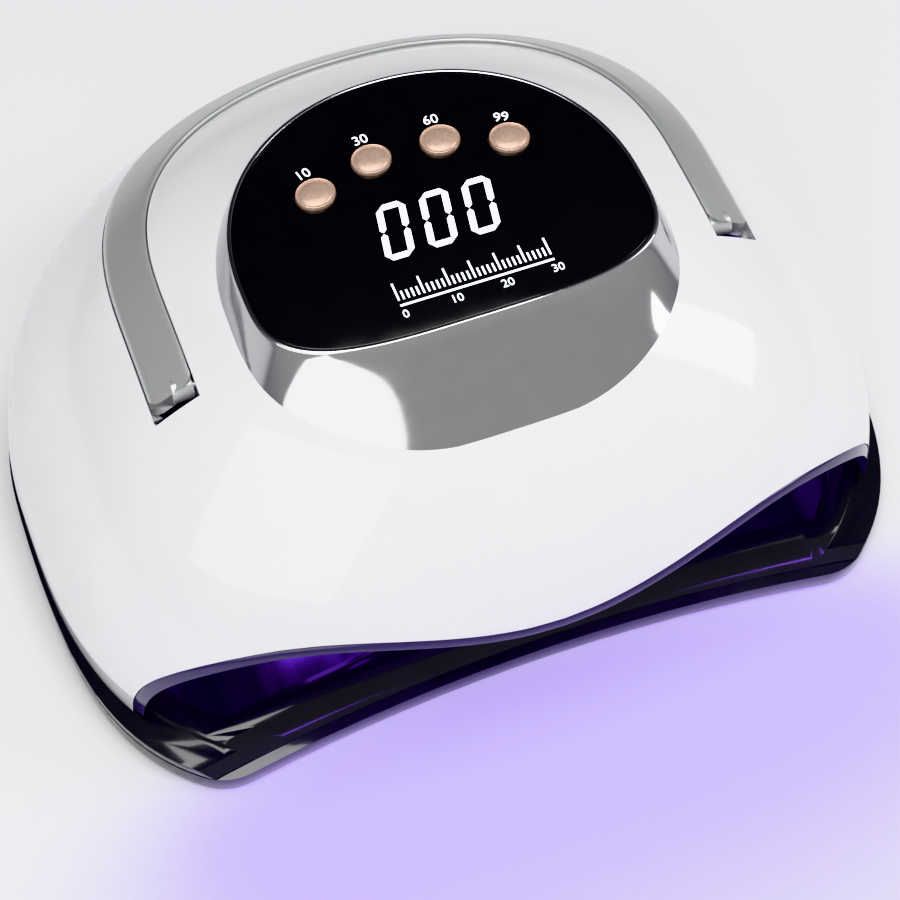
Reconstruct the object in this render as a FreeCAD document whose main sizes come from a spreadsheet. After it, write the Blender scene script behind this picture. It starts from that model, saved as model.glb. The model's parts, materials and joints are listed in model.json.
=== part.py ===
import FreeCAD, Part
import math
import os
from FreeCAD import Placement, Rotation, Vector

# Desk lamp that cures nail gel under violet light: a white domed housing over a
# hand chamber, a loose floor plate held by magnets, a fold-up carry handle and a
# glass-topped control panel with four timer keys.
# Frame: +X to the user's right, the mouth faces -Y, +Z up, z = 0 on the table.

doc = FreeCAD.newDocument("nail_lamp")
sizes = doc.addObject("Spreadsheet::Sheet", "sizes")

DRIVING = [
    # outer form
    ("overallWidth", 240.0, "across the floor plate"),
    ("overallDepth", 200.0, "visor lip to the back of the floor plate"),
    ("seamHeight", 10.0, "lower edge of the white shell"),
    ("apexHeight", 103.3, "top of the dome curve, hidden under the panel"),
    ("domeCurve", 2.14, "roundness of the dome's side profile"),
    ("frontFullness", 2.9, "squareness of the plan in front"),
    ("rearFullness", 2.11, "squareness of the plan behind"),
    ("baseFullness", 3.4, "squareness of floor plate and rim in front"),
    ("rimProud", 0.8, "how far the black rim stands out under the shell"),
    ("shellWall", 2.4, "white shell wall"),
    # mouth
    ("mouthHalf", 107.5, "half width of the mouth at the seam"),
    ("shoulderHalf", 95.0, "half width at the shoulders"),
    ("shoulderHeight", 40.0, "height of the shoulders"),
    ("lobeHalf", 69.0, "where the mouth is highest"),
    ("lobeHeight", 54.0, "highest point of the mouth"),
    ("lipHeight", 48.0, "visor lip on the middle line"),
    ("linerWall", 2.0, "wall of the chamber liner"),
    ("linerGap", 0.2, "gap between shell and liner"),
    ("chamberRear", 78.0, "back wall of the hand chamber"),
    ("chamberHalf", 112.0, "half width of the curve of the back wall"),
    ("vaultHeight", 80.0, "height of the curve of the back wall"),
    ("vaultCurve", 3.5, "roundness of the curve of the back wall"),
    # floor plate and lower frame
    ("plateLow", 1.2, "underside of the floor plate"),
    ("plateTop", 6.6, "top of the plate's visible edge"),
    ("frameLow", 7.4, "underside of the lower frame"),
    ("frameTop", 12.5, "top of the lower frame inside the shell"),
    ("landInset", 3.0, "how far the plate's raised land sits back"),
    ("panFloor", 3.0, "top of the floor inside the plate"),
    ("mirrorThick", 0.8, "polished sheet on the floor"),
    ("frontSwing", 530.0, "radius of the hollow front edge"),
    ("plateFront", 87.0, "front edge of the floor plate on the middle line"),
    ("frameFront", 84.0, "front foot of the frame's sill"),
    ("sillSlope", 6.0, "how far the sill leans back"),
    ("sillWidth", 12.0, "sill from foot to back"),
    ("frameWidth", 9.0, "least width of the frame round the floor"),
    ("cornerRound", 16.0, "front corners of plate and frame"),
    ("footRadius", 7.0, "rubber foot"),
    ("footDepth", 2.4, "rubber foot thickness"),
    ("footFrontX", 84.0, "front feet from the middle line"),
    ("footFrontY", 72.0, "front feet before the centre"),
    ("footSideX", 98.0, "side feet from the middle line"),
    ("footSideY", 20.0, "side feet behind the centre"),
    ("footRearX", 58.0, "rear feet from the middle line"),
    ("footRearY", 76.0, "rear feet behind the centre"),
    ("pocketSlack", 0.1, "slack round feet and magnets"),
    ("frameSeat", 0.25, "slack between lower frame and shell"),
    ("magnetRadius", 5.0, "disc magnet"),
    ("magnetThick", 2.0, "disc magnet thickness"),
    ("magnetSideX", 110.2, "side magnets from the middle line"),
    ("magnetRearX", 48.0, "rear magnets from the middle line"),
    ("magnetRearY", 84.0, "rear magnets behind the centre"),
    # carry handle
    ("handleInnerX", 70.5, "inner edge of the handle's arms"),
    ("handleInnerY", 66.0, "inner edge of the handle's rear bar"),
    ("handleOuterX", 82.0, "outer edge of the handle's arms"),
    ("handleOuterY", 78.0, "outer edge of the handle's rear bar"),
    ("handleFullness", 2.5, "squareness of the handle's bend"),
    ("handleFront", 25.2, "front end of the arms"),
    ("handleProud", 1.3, "how far the handle stands over the dome"),
    ("grooveDepth", 3.3, "depth of the groove it lies in"),
    ("handleGap", 0.4, "clearance round the handle"),
    ("hingeY", 23.0, "hinge axis before the centre"),
    ("hingeZ", 83.0, "height of the hinge axis"),
    ("hingePin", 1.2, "hinge pin radius"),
    ("pinClearance", 0.05, "running clearance round the pin"),
    ("hingeLug", 3.2, "radius of the lug round the pin"),
    ("hingeSwing", 7.4, "radius of the pocket round the hinge"),
    ("hingeNotch", 5.8, "pocket and notch before the hinge axis"),
    ("backingDepth", 0.8, "groove backing below the outer face"),
    ("bossDepth", 0.9, "hinge bosses below the outer face"),
    ("columnDepth", 1.0, "screw bosses below the outer face"),
    ("pinInnerX", 61.0, "inner end of the hinge pin"),
    ("pinOuterX", 75.2, "outer end of the hinge pin"),
    # panel
    ("panelCentreY", -13.0, "widest line of the panel"),
    ("panelHalf", 52.5, "half width of the panel glass"),
    ("panelFront", 28.0, "panel glass before its widest line"),
    ("panelRear", 51.0, "panel glass behind its widest line"),
    ("panelFrontFull", 3.6, "squareness of the panel in front"),
    ("panelRearFull", 2.1, "squareness of the panel behind"),
    ("panelTop", 102.6, "top of the panel glass"),
    ("glassThick", 2.0, "panel glass thickness"),
    ("glassGap", 0.15, "gap round the panel glass"),
    ("bezelTop", 103.0, "top of the chrome bezel"),
    ("bezelLow", 88.0, "level at which the bezel foot is measured"),
    ("bezelRim", 1.4, "bezel rim round the glass"),
    ("bezelWall", 2.2, "bezel wall"),
    ("bezelFootHalf", 60.0, "half width of the bezel foot"),
    ("bezelFootFront", 50.5, "bezel foot before the widest line"),
    ("bezelFootRear", 55.5, "bezel foot behind the widest line"),
    ("bezelFootFull", 3.0, "squareness of the bezel foot in front"),
    ("bezelSeat", 0.15, "gap between bezel and dome"),
    ("glassLedge", 1.6, "ledge under the glass"),
    ("ledgeThick", 1.5, "thickness of the ledge"),
    ("bezelScrewX", 30.0, "bezel screws from the middle line"),
    ("bezelScrewY", 49.0, "bezel screws before the centre"),
    ("bezelPost", 3.0, "post round a bezel screw"),
    ("openingInset", 6.0, "shell opening inside the panel outline"),
    # keys
    ("keyLong", 5.25, "half length of a key"),
    ("keyShort", 4.7, "half width of a key"),
    ("keyProud", 1.5, "key above the glass"),
    ("keyTravel", 0.7, "travel of a key"),
    ("keyClearance", 0.25, "gap round a key"),
    ("keyOuterX", 26.4, "outer keys from the middle line"),
    ("keyOuterY", 8.0, "outer keys behind the centre"),
    ("keyInnerX", 9.4, "inner keys from the middle line"),
    ("keyInnerY", 13.6, "inner keys behind the centre"),
    ("flangeThick", 0.9, "flange under a key"),
    ("flangeWide", 0.9, "flange beyond the key"),
    ("plungerRadius", 1.7, "switch plunger"),
    ("switchSide", 6.0, "switch case side"),
    ("switchTall", 3.6, "switch case height"),
    # boards
    ("boardThick", 1.6, "circuit board thickness"),
    ("displayBoardWidth", 78.0, "display board"),
    ("displayBoardDepth", 46.0, "display board depth"),
    ("displayBoardY", -3.0, "display board centre"),
    ("displayBoardZ", 91.8, "display board underside"),
    ("digitsWidth", 42.0, "digit block"),
    ("digitsDepth", 24.0, "digit block depth"),
    ("digitsTall", 6.0, "digit block height"),
    ("digitsY", -14.0, "digit block centre"),
    ("displayPostX", 32.0, "display posts from the middle line"),
    ("displayPostFront", 22.0, "front display posts before the centre"),
    ("displayPostRear", -3.0, "rear display posts from the centre, back positive"),
    ("displayPost", 2.5, "display post radius"),
    ("roofBoardWidth", 136.0, "roof light board"),
    ("roofBoardDepth", 112.0, "roof light board depth"),
    ("roofBoardY", -14.0, "roof light board centre"),
    ("roofBoardZ", 56.5, "roof light board underside"),
    ("lensRadius", 2.7, "light bead radius"),
    ("lensHole", 3.1, "hole for a light bead"),
    ("lensPitchX", 20.0, "bead spacing across"),
    ("lensPitchY", 19.0, "bead spacing front to back"),
    ("sideBoardLong", 70.0, "side light board length"),
    ("sideBoardY", -10.0, "side light board centre"),
    ("sidePitch", 15.0, "bead spacing along the side boards"),
    ("sideBoardTall", 22.0, "side light board height"),
    ("sideBoardX", 106.2, "side light board from the middle line"),
    ("sideBoardZ", 28.5, "side light board centre height"),
    ("sideLean", 22.0, "lean of the side walls in degrees"),
    ("beadRowGap", 10.0, "between the two rows of side and rear beads"),
    ("sideBead", 4.6, "side bead from board to lens"),
    ("rearBead", 4.0, "inner rear bead from board to lens"),
    ("rearBeadOuter", 5.6, "outer rear bead from board to lens"),
    ("roofBeadShort", 1.2, "how far a roof lens stops short of the roof's underside"),
    ("linerPostX", 56.0, "liner posts from the middle line"),
    ("linerPostFront", 60.0, "front liner posts before the centre"),
    ("linerPostRear", 34.0, "rear liner posts behind the centre"),
    ("linerPost", 3.0, "liner post radius"),
    ("linerPostTall", 14.0, "liner post height"),
    ("sensorY", 74.0, "hand sensor before the centre"),
    ("sensorZ", 45.4, "underside of the hand sensor"),
    ("sensorWidth", 16.0, "hand sensor width"),
    ("sensorDepth", 8.0, "hand sensor depth"),
    ("sensorTall", 7.0, "hand sensor height"),
    ("sensorSlack", 0.2, "slack round the hand sensor"),
    ("sensorEye", 2.2, "sensor eye radius"),
    ("sensorEyeX", 4.0, "sensor eyes from the middle line"),
    ("sensorEyeProud", 0.8, "sensor eye below the sensor"),
    ("rearBoardWidth", 84.0, "rear light board width"),
    ("rearBoardTall", 22.0, "rear light board height"),
    ("rearBoardY", 82.5, "rear light board front face"),
    ("powerBoardWidth", 92.0, "power board"),
    ("powerBoardDepth", 62.0, "power board depth"),
    ("powerBoardY", 2.0, "power board centre"),
    ("powerBoardZ", 66.0, "power board underside"),
    ("standX", 40.0, "board stands from the middle line"),
    ("standFront", 24.0, "front stands before the centre"),
    ("standRear", 26.0, "rear stands behind the centre"),
    ("standRadius", 2.8, "board stand radius"),
    ("canRadius", 5.0, "capacitor radius"),
    ("canTall", 14.0, "capacitor height"),
    ("canPitch", 13.0, "capacitor spacing"),
    ("canY", 20.0, "capacitors behind the centre"),
    ("coilRadius", 8.0, "coil radius"),
    ("coilBore", 3.0, "coil bore radius"),
    ("coilTall", 7.0, "coil height"),
    ("coilPitch", 22.0, "coil spacing"),
    ("coilY", 12.0, "coils before the centre"),
    ("sinkX", 27.0, "heat sink from the middle line"),
    ("sinkWidth", 22.0, "heat sink width"),
    ("sinkDepth", 40.0, "heat sink depth"),
    ("sinkFoot", 2.0, "heat sink foot thickness"),
    ("finThick", 1.4, "heat sink fin thickness"),
    ("finTall", 14.0, "heat sink fin height"),
    ("finPitch", 5.0, "heat sink fin spacing"),
    ("ribbonWidth", 24.0, "ribbon cable width"),
    ("ribbonThick", 0.8, "ribbon cable thickness"),
    ("ribbonY", 28.0, "ribbon cable behind the centre"),
    # inlet and screws
    ("inletZ", 24.0, "inlet height"),
    ("inletNose", 4.6, "inlet nose radius"),
    ("inletBore", 3.1, "inlet bore radius"),
    ("inletPin", 1.0, "inlet centre pin radius"),
    ("inletBlockWidth", 14.0, "inlet block width"),
    ("inletBlockDepth", 9.0, "inlet block depth"),
    ("inletBlockTall", 12.0, "inlet block height"),
    ("inletSet", 2.2, "inlet nose short of the overall depth"),
    ("inletSlack", 0.15, "slack round the inlet nose"),
    ("caseScrewX", 101.5, "side case screws from the middle line"),
    ("caseScrewY", 46.0, "side case screws behind the centre"),
    ("rearScrewX", 70.0, "rear case screws from the middle line"),
    ("rearScrewY", 72.5, "rear case screws behind the centre"),
    ("screwRadius", 1.45, "screw shank"),
    ("screwHead", 2.7, "screw head radius"),
    ("screwHeadTall", 1.8, "screw head height"),
    ("bossRadius", 3.4, "screw boss"),
    ("screwSlack", 0.15, "slack round a screw shank"),
    ("screwBite", 0.05, "how far a thread bites into its boss"),
    ("slotWidth", 0.7, "cross slot width"),
    ("slotDepth", 0.8, "cross slot depth"),
    ("caseScrewLong", 13.0, "case screw length"),
    ("bezelScrewLong", 6.0, "bezel screw length"),
]
for row, (alias, value, note) in enumerate(DRIVING, 1):
    sizes.set(f"A{row}", note)
    sizes.set(f"B{row}", str(value))
    sizes.setAlias(f"B{row}", alias)
doc.recompute()

nodes = []


def size(alias):
    return float(sizes.get(alias))


def node(piece, name):
    # a finished sub-part: its label is its file name
    piece.Label = name
    nodes.append(piece)
    return piece


def bind(piece, **formulas):
    for name, formula in formulas.items():
        piece.setExpression(name, formula)
    return piece


def place(piece, x="0", y="0", z="0"):
    piece.setExpression("Placement.Base.x", x)
    piece.setExpression("Placement.Base.y", y)
    piece.setExpression("Placement.Base.z", z)
    return piece


def box(name, width, depth, tall, x="0", y="0", z="0"):
    # a block centred on x and y, standing on z
    piece = doc.addObject("Part::Box", name)
    bind(piece, Length=width, Width=depth, Height=tall)
    return place(piece, f"({x}) - ({width}) / 2", f"({y}) - ({depth}) / 2", z)


def rod(name, radius, length, x="0", y="0", z="0", turn=None):
    # a cylinder from its end at x, y, z, along +Z unless turned
    piece = doc.addObject("Part::Cylinder", name)
    bind(piece, Radius=radius, Height=length)
    if turn:
        piece.Placement = Placement(Vector(), turn)
    return place(piece, x, y, z)


def group(name, pieces):
    piece = doc.addObject("Part::Compound", name)
    piece.Links = pieces
    return piece


def cut(name, base, *tools):
    # one cut after another, because tools may cross each other
    piece = base
    for index, tool in enumerate(tools, 1):
        step = doc.addObject("Part::Cut", name if index == len(tools) else f"{name}_{index}")
        step.Base = piece
        step.Tool = tool
        step.Refine = False
        piece = step
    return piece


def fuse(name, *pieces):
    piece = doc.addObject("Part::MultiFuse", name)
    piece.Shapes = list(pieces)
    piece.Refine = False
    return piece


def common(name, *pieces):
    piece = doc.addObject("Part::MultiCommon", name)
    piece.Shapes = list(pieces)
    piece.Refine = False
    return piece


def form(name, shape):
    # a free-form body for the booleans
    piece = doc.addObject("Part::Feature", name)
    piece.Shape = shape
    return piece


ALONG_X = Rotation(Vector(0, 1, 0), 90)
ALONG_MINUS_X = Rotation(Vector(0, 1, 0), -90)
ALONG_Y = Rotation(Vector(1, 0, 0), -90)
SIDES = (("left", -1), ("right", 1))


# ---- curves and forms -------------------------------------------------------

def power(value, exponent):
    return math.copysign(abs(value) ** exponent, value)


def plan(half, front, rear, frontFull, rearFull, level, centre=0.0, count=48):
    # closed rounded outline, with its own fullness before and behind its centre
    points = []
    for index in range(count):
        angle = 2 * math.pi * index / count
        behind = math.sin(angle) > 0
        full = rearFull if behind else frontFull
        reach = rear if behind else front
        x = half * power(math.cos(angle), 2 / full)
        y = centre + reach * power(math.sin(angle), 2 / full)
        points.append(Vector(x, y, level))
    curve = Part.BSplineCurve()
    curve.interpolate(Points=points, PeriodicFlag=True)
    return Part.Wire([curve.toShape()])


def prism(wire, tall):
    return Part.Face(wire).extrude(Vector(0, 0, tall))


def dome(half, front, rear, height, curve, seam, below, least=0.3, count=9):
    # rounded dome from the seam up to where its plan has shrunk to the least share
    fulls = (size("frontFullness"), size("rearFullness"))
    last = math.acos(least ** (curve / 2))
    rings = []
    if below:
        rings.append(plan(half, front, rear, *fulls, seam - below))
    for index in range(count):
        angle = last * index / (count - 1)
        share = math.cos(angle) ** (2 / curve)
        level = seam + (height - seam) * math.sin(angle) ** (2 / curve)
        rings.append(plan(half * share, front * share, rear * share, *fulls, level))
    return Part.makeLoft(rings, True, False)


def share_at(level):
    rise = (level - size("seamHeight")) / (size("apexHeight") - size("seamHeight"))
    return (1 - rise ** size("domeCurve")) ** (1 / size("domeCurve"))


HALF = size("overallWidth") / 2 - size("rimProud")
REAR = size("overallDepth") / 2 - size("rimProud")
FRONT = size("overallDepth") / 2 / share_at(size("lipHeight"))


def shell_dome(inset, below=0.0):
    return dome(HALF - inset, FRONT - inset, REAR - inset, size("apexHeight") - inset,
                size("domeCurve"), size("seamHeight"), below)


def footprint(grow, low, high, frontFull="frontFullness"):
    # upright prism on the shell's plan, grown outwards
    fulls = (size(frontFull), size("rearFullness"))
    return prism(plan(HALF + grow, FRONT + grow, REAR + grow, *fulls, low), high - low)


def vault(grow, below=8.0):
    # back wall of the hand chamber; the mouth outline closes its sides and roof
    return dome(size("chamberHalf") + grow, 2 * FRONT, size("chamberRear") + grow,
                size("vaultHeight") + grow, size("vaultCurve"), size("seamHeight"), below,
                least=0.5)


def mouth(shrink, back, below=8.0):
    # the mouth outline carried back along Y, made smaller by a wall
    outline = [
        (size("mouthHalf"), size("seamHeight"), 1.0, 0.1),
        (size("shoulderHalf"), size("shoulderHeight"), 0.8, 0.6),
        (size("lobeHalf"), size("lobeHeight"), 0.05, 1.0),
        (0.0, size("lipHeight"), 0.0, 1.0),
    ]
    right = [Vector(x - shrink * nx, 0, z - shrink * nz) for x, z, nx, nz in outline]
    left = [Vector(-p.x, 0, p.z) for p in reversed(right[:-1])]
    points = right + left
    arch = Part.BSplineCurve()
    arch.interpolate(points)
    drop = Vector(0, 0, -below)
    foot = [points[0] + drop, points[-1] + drop]
    wire = Part.Wire([
        arch.toShape(),
        Part.makeLine(points[-1], foot[1]),
        Part.makeLine(foot[1], foot[0]),
        Part.makeLine(foot[0], points[0]),
    ])
    reach = 1.4 * FRONT
    wire.translate(Vector(0, -reach, 0))
    return Part.Face(wire).extrude(Vector(0, reach + back, 0))


def panel_ring(grow, level):
    return plan(size("panelHalf") + grow, size("panelFront") + grow, size("panelRear") + grow,
                size("panelFrontFull"), size("panelRearFull"), level, size("panelCentreY"))


def bezel_foot(grow, level):
    return plan(size("bezelFootHalf") + grow, size("bezelFootFront") + grow,
                size("bezelFootRear") + grow, size("bezelFootFull"), size("panelRearFull"),
                level, size("panelCentreY"))


def handle_band(grow, ends, low=40.0, high=130.0):
    # upright horseshoe between the handle's inner and outer plan curves
    def curve(half, reach):
        full = size("handleFullness")
        points = []
        for index in range(25):
            angle = math.pi * index / 24
            x = half * power(math.cos(angle), 2 / full)
            y = reach * power(math.sin(angle), 2 / full)
            points.append(Vector(x, y, low))
        bend = Part.BSplineCurve()
        bend.interpolate(points, InitialTangent=Vector(0, 1, 0), FinalTangent=Vector(0, -1, 0))
        return bend.toShape()

    outer = (size("handleOuterX") + grow, size("handleOuterY") + grow)
    inner = (size("handleInnerX") - grow, size("handleInnerY") - grow)
    corners = []
    for half in (outer[0], inner[0]):
        corners.append((Vector(half, 0, low), Vector(half, -ends, low)))
    (outerTop, outerEnd), (innerTop, innerEnd) = corners
    mirror = [Vector(-p.x, p.y, p.z) for p in (outerTop, outerEnd, innerTop, innerEnd)]
    edges = [
        curve(*outer),
        Part.makeLine(mirror[0], mirror[1]),
        Part.makeLine(mirror[1], mirror[3]),
        Part.makeLine(mirror[3], mirror[2]),
        curve(*inner),
        Part.makeLine(innerTop, innerEnd),
        Part.makeLine(innerEnd, outerEnd),
        Part.makeLine(outerEnd, outerTop),
    ]
    wire = Part.Wire(Part.__sortEdges__(edges))
    return prism(wire, high - low)


def front_roll(name, near, low, high, lean=0.0):
    # a wide upright roller that hollows the front edge between the two corners
    roller = doc.addObject("Part::Cone", name)
    bind(roller, Radius1=f"sizes.frontSwing", Height=f"{high} - {low}",
         Radius2=f"sizes.frontSwing + {lean}")
    return place(roller, "0", f"-({near}) - sizes.frontSwing", low)


outer = form("outer_dome", shell_dome(0.0))
inner = form("inner_dome", shell_dome(size("shellWall"), 4.0))

# ---- floor plate --------------------------------------------------------------

LOW = "sizes.plateLow - 2"
HIGH = "sizes.frameTop + 4"


def rounded_front(name, blank):
    # rounds the two upright corners where the hollow front meets the sides
    doc.recompute()
    rounding = doc.addObject("Part::Fillet", name)
    rounding.Base = blank
    radius = size("cornerRound")
    picked = []
    for index, edge in enumerate(blank.Shape.Edges, 1):
        box_ = edge.BoundBox
        upright = box_.ZLength > 0.6 * blank.Shape.BoundBox.ZLength
        if upright and box_.YMax < -0.6 * FRONT and abs(box_.Center.x) > 0.4 * HALF:
            picked.append((index, radius, radius))
    rounding.Edges = picked
    return rounding


plateEdge = form("plate_edge", footprint(size("rimProud"), size("plateLow"), size("plateTop"),
                                         "baseFullness"))
plateBlank = cut("plate_blank", plateEdge, front_roll("plate_roll", "sizes.plateFront", LOW, HIGH))
plateRounded = rounded_front("plate_rounded", plateBlank)
plateLand = form("plate_land", footprint(-size("landInset"), size("panFloor"), size("frameLow")))
landTrim = cut("land_trim", plateLand,
               front_roll("land_roll", "sizes.plateFront - sizes.landInset", LOW, HIGH))
plateBody = fuse("plate_body", plateRounded, landTrim)


def chamber_floor(name, low, high, shrink):
    # the floor area inside the walls of the chamber, behind the sill
    area = form(name + "_area", vault(-shrink, 12.0))
    tunnel = form(name + "_tunnel", mouth(size("linerWall") + size("linerGap") + shrink, 200, 12.0))
    bounds = form(name + "_bounds", footprint(-size("frameWidth") - shrink, 0, 60.0))
    slab = box(name + "_slab", "400", "400", f"({high}) - ({low})", "0", "0", low)
    near = f"sizes.frameFront - sizes.sillWidth - {shrink}"
    floor = common(name + "_floor", area, tunnel, bounds, slab)
    return cut(name, floor, front_roll(name + "_roll", near, LOW, HIGH))


pan = chamber_floor("pan", "sizes.panFloor", "sizes.frameLow + 1", 0.0)


def spots(*pairs):
    # each place and its mirror image across the middle plane
    return [(sign, x, y) for x, y in pairs for _, sign in SIDES]


MAGNETS = spots(("sizes.magnetSideX", "0"), ("sizes.magnetRearX", "sizes.magnetRearY"))
FEET = spots(("sizes.footFrontX", "-sizes.footFrontY"), ("sizes.footSideX", "sizes.footSideY"),
             ("sizes.footRearX", "sizes.footRearY"))


def discs(name, places, radius, tall, z):
    made = []
    for index, (sign, x, y) in enumerate(places):
        made.append(rod(f"{name}_{index}", radius, tall, f"{sign} * ({x})", y, z))
    return group(name, made)


MAGNET_LOW = "sizes.frameLow - sizes.magnetThick - sizes.pocketSlack"
plateMagnetHoles = discs("plate_magnet_holes", MAGNETS, "sizes.magnetRadius + sizes.pocketSlack",
                         "sizes.frameTop", MAGNET_LOW)
footHoles = discs("foot_holes", FEET, "sizes.footRadius + sizes.pocketSlack",
                  "sizes.frameTop", "sizes.footDepth - sizes.frameTop")
basePlate = cut("base_plate_cut", plateBody, pan, plateMagnetHoles, footHoles)
node(basePlate, "base_plate")
mirror = chamber_floor("mirror_sheet", "sizes.panFloor", "sizes.panFloor + sizes.mirrorThick", 0.6)
node(mirror, "floor_mirror")
feet = discs("feet", FEET, "sizes.footRadius", "sizes.footDepth", "0")
node(feet, "rubber_feet")
baseMagnets = discs("base_magnet", MAGNETS, "sizes.magnetRadius", "sizes.magnetThick", MAGNET_LOW)
node(baseMagnets, "base_magnets")

# ---- lower frame -----------------------------------------------------------------

frameEdge = form("frame_edge", footprint(size("rimProud"), size("frameLow"), size("seamHeight"),
                                         "baseFullness"))
frameStep = form("frame_step",
                 footprint(-size("shellWall") - size("frameSeat"), size("frameLow"),
                           size("frameTop")))
frameBlank = fuse("frame_blank", frameEdge, frameStep)
frameFace = cut("frame_face", frameBlank,
                front_roll("frame_roll", "sizes.frameFront", "sizes.frameLow", "sizes.frameTop",
                           "sizes.sillSlope"))
opening = chamber_floor("frame_opening", "sizes.frameLow - 1", "sizes.frameTop + 1", 0.0)
CASE_SCREWS = spots(("sizes.caseScrewX", "sizes.caseScrewY"),
                    ("sizes.rearScrewX", "sizes.rearScrewY"))
screwHoles = discs("case_screw_holes", CASE_SCREWS, "sizes.screwRadius + sizes.screwSlack",
                   "sizes.frameTop", "sizes.frameLow - 1")
headHoles = discs("case_head_holes", CASE_SCREWS, "sizes.screwHead + sizes.screwSlack",
                  "sizes.screwHeadTall + 2 * sizes.screwSlack + 1", "sizes.frameLow - 1")
frameMagnetHoles = discs("frame_magnet_holes", MAGNETS, "sizes.magnetRadius + sizes.pocketSlack",
                         "sizes.magnetThick + sizes.pocketSlack + 1", "sizes.frameLow - 1")
lowerFrame = cut("lower_frame_cut", frameFace, opening, screwHoles, headHoles, frameMagnetHoles)
node(lowerFrame, "lower_frame")
housingMagnets = discs("housing_magnet", MAGNETS, "sizes.magnetRadius", "sizes.magnetThick",
                       "sizes.frameLow + sizes.pocketSlack / 2")
node(housingMagnets, "housing_magnets")


def screw(name, x, y, z, length):
    # pan-head screw pointing up: head, shank and a cross recess
    head = rod(name + "_head", "sizes.screwHead", "sizes.screwHeadTall", x, y, z)
    shank = rod(name + "_shank", "sizes.screwRadius", length, x, y, z)
    solid = fuse(name + "_solid", head, shank)
    recess = [("sizes.screwHead", "sizes.slotWidth"), ("sizes.slotWidth", "sizes.screwHead")]
    slots = []
    for index, (along, across) in enumerate(recess):
        slots.append(box(f"{name}_slot_{index}", along, across, "1 + sizes.slotDepth", x, y,
                         f"{z} - 1"))
    return cut(name, solid, *slots)


caseScrews = []
for index, (sign, x, y) in enumerate(CASE_SCREWS):
    caseScrews.append(screw(f"case_screw_{index}", f"{sign} * ({x})", y,
                            "sizes.frameLow + 2 * sizes.screwSlack", "sizes.caseScrewLong"))
node(group("case_screw_group", caseScrews), "case_screws")

# ---- upper shell ---------------------------------------------------------------

skin = cut("shell_skin", outer, inner)


def under_skin(name, depth, *pieces):
    # thickenings end inside the wall, each at its own depth, so no two faces coincide
    return common(name, *pieces, form(name + "_limit", shell_dome(depth, 4.0)))


grooveBack = form("groove_back", shell_dome(size("grooveDepth") + size("shellWall"), 4.0))
bandWide = form("band_wide", handle_band(size("handleGap") + size("shellWall"),
                                         size("handleFront") + size("shellWall")))
backing = cut("groove_backing", under_skin("backing_layer", size("backingDepth"), bandWide),
              grooveBack)
hingeBosses = []
hingePockets = []
hingeSlots = []
hingeHoles = []
for side, sign in SIDES:
    turn = ALONG_X if sign > 0 else ALONG_MINUS_X
    centre = ("-sizes.hingeY", "sizes.hingeZ")
    hingeBosses.append(rod(f"{side}_hinge_boss", "sizes.hingeSwing + sizes.shellWall",
                           "sizes.handleOuterX - sizes.pinInnerX + sizes.shellWall",
                           f"{sign} * sizes.pinInnerX", *centre, turn))
    start = "sizes.handleInnerX - sizes.handleGap"
    width = "sizes.handleOuterX - sizes.handleInnerX + 2 * sizes.handleGap"
    middle = f"{sign} * ({start} + ({width}) / 2)"
    swing = rod(f"{side}_hinge_swing", "sizes.hingeSwing", width, f"{sign} * ({start})", *centre,
                turn)
    behind = box(f"{side}_pocket_limit", width, "2 * sizes.hingeSwing", "2 * sizes.hingeSwing",
                 middle, "-sizes.hingeY - sizes.hingeNotch + sizes.hingeSwing",
                 "sizes.hingeZ - sizes.hingeSwing")
    hingePockets.append(common(f"{side}_hinge_pocket", swing, behind))
    hingeSlots.append(box(f"{side}_hinge_slot", width, "sizes.hingeNotch", "2 * sizes.hingeSwing",
                          middle, "-sizes.hingeY - sizes.hingeNotch / 2", "sizes.hingeZ"))
    hingeHoles.append(rod(f"{side}_hinge_hole", "sizes.hingePin",
                          "sizes.handleOuterX - sizes.pinInnerX", f"{sign} * sizes.pinInnerX",
                          *centre, turn))
bossBlocks = under_skin("hinge_blocks", size("bossDepth"), group("hinge_boss_pair", hingeBosses))
caseBosses = discs("case_bosses", CASE_SCREWS, "sizes.bossRadius", "sizes.apexHeight",
                   "sizes.frameTop")
bossColumns = under_skin("boss_columns", size("columnDepth"), caseBosses)
shellBody = skin
for stage, thickening in enumerate((backing, bossBlocks, bossColumns), 1):
    shellBody = fuse(f"shell_stage_{stage}", shellBody, thickening)
groove = cut("groove", form("band_groove", handle_band(size("handleGap"), size("handleFront"))),
             form("groove_floor", shell_dome(size("grooveDepth"))))
mouthCut = form("mouth_cut", mouth(0.0, -0.42 * FRONT))
panelOpening = form("panel_opening", prism(panel_ring(-size("openingInset"), 80.0), 60.0))
bossHoles = discs("boss_holes", CASE_SCREWS, "sizes.screwRadius - sizes.screwBite",
                  "sizes.caseScrewLong + sizes.frameLow - sizes.frameTop + 2",
                  "sizes.frameTop - 1")
inletHole = rod("inlet_hole", "sizes.inletNose + sizes.inletSlack", "30", "0",
                "sizes.overallDepth / 2 - 20", "sizes.inletZ", ALONG_Y)
bezelBores = []
BEZEL_SCREWS = spots(("sizes.bezelScrewX", "-sizes.bezelScrewY"))
for index, (sign, x, y) in enumerate(BEZEL_SCREWS):
    bezelBores.append(rod(f"bezel_bore_{index}", "sizes.screwRadius + sizes.screwSlack", "30",
                          f"{sign} * ({x})", y, "sizes.bezelLow - 8"))
upperShell = cut("upper_shell_cut", shellBody, groove, mouthCut, panelOpening, bossHoles, inletHole,
                 group("hinge_pockets", hingePockets), group("hinge_slots", hingeSlots),
                 group("hinge_holes", hingeHoles), group("bezel_bores", bezelBores))
node(upperShell, "upper_shell")

# ---- carry handle ----------------------------------------------------------------

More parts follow.
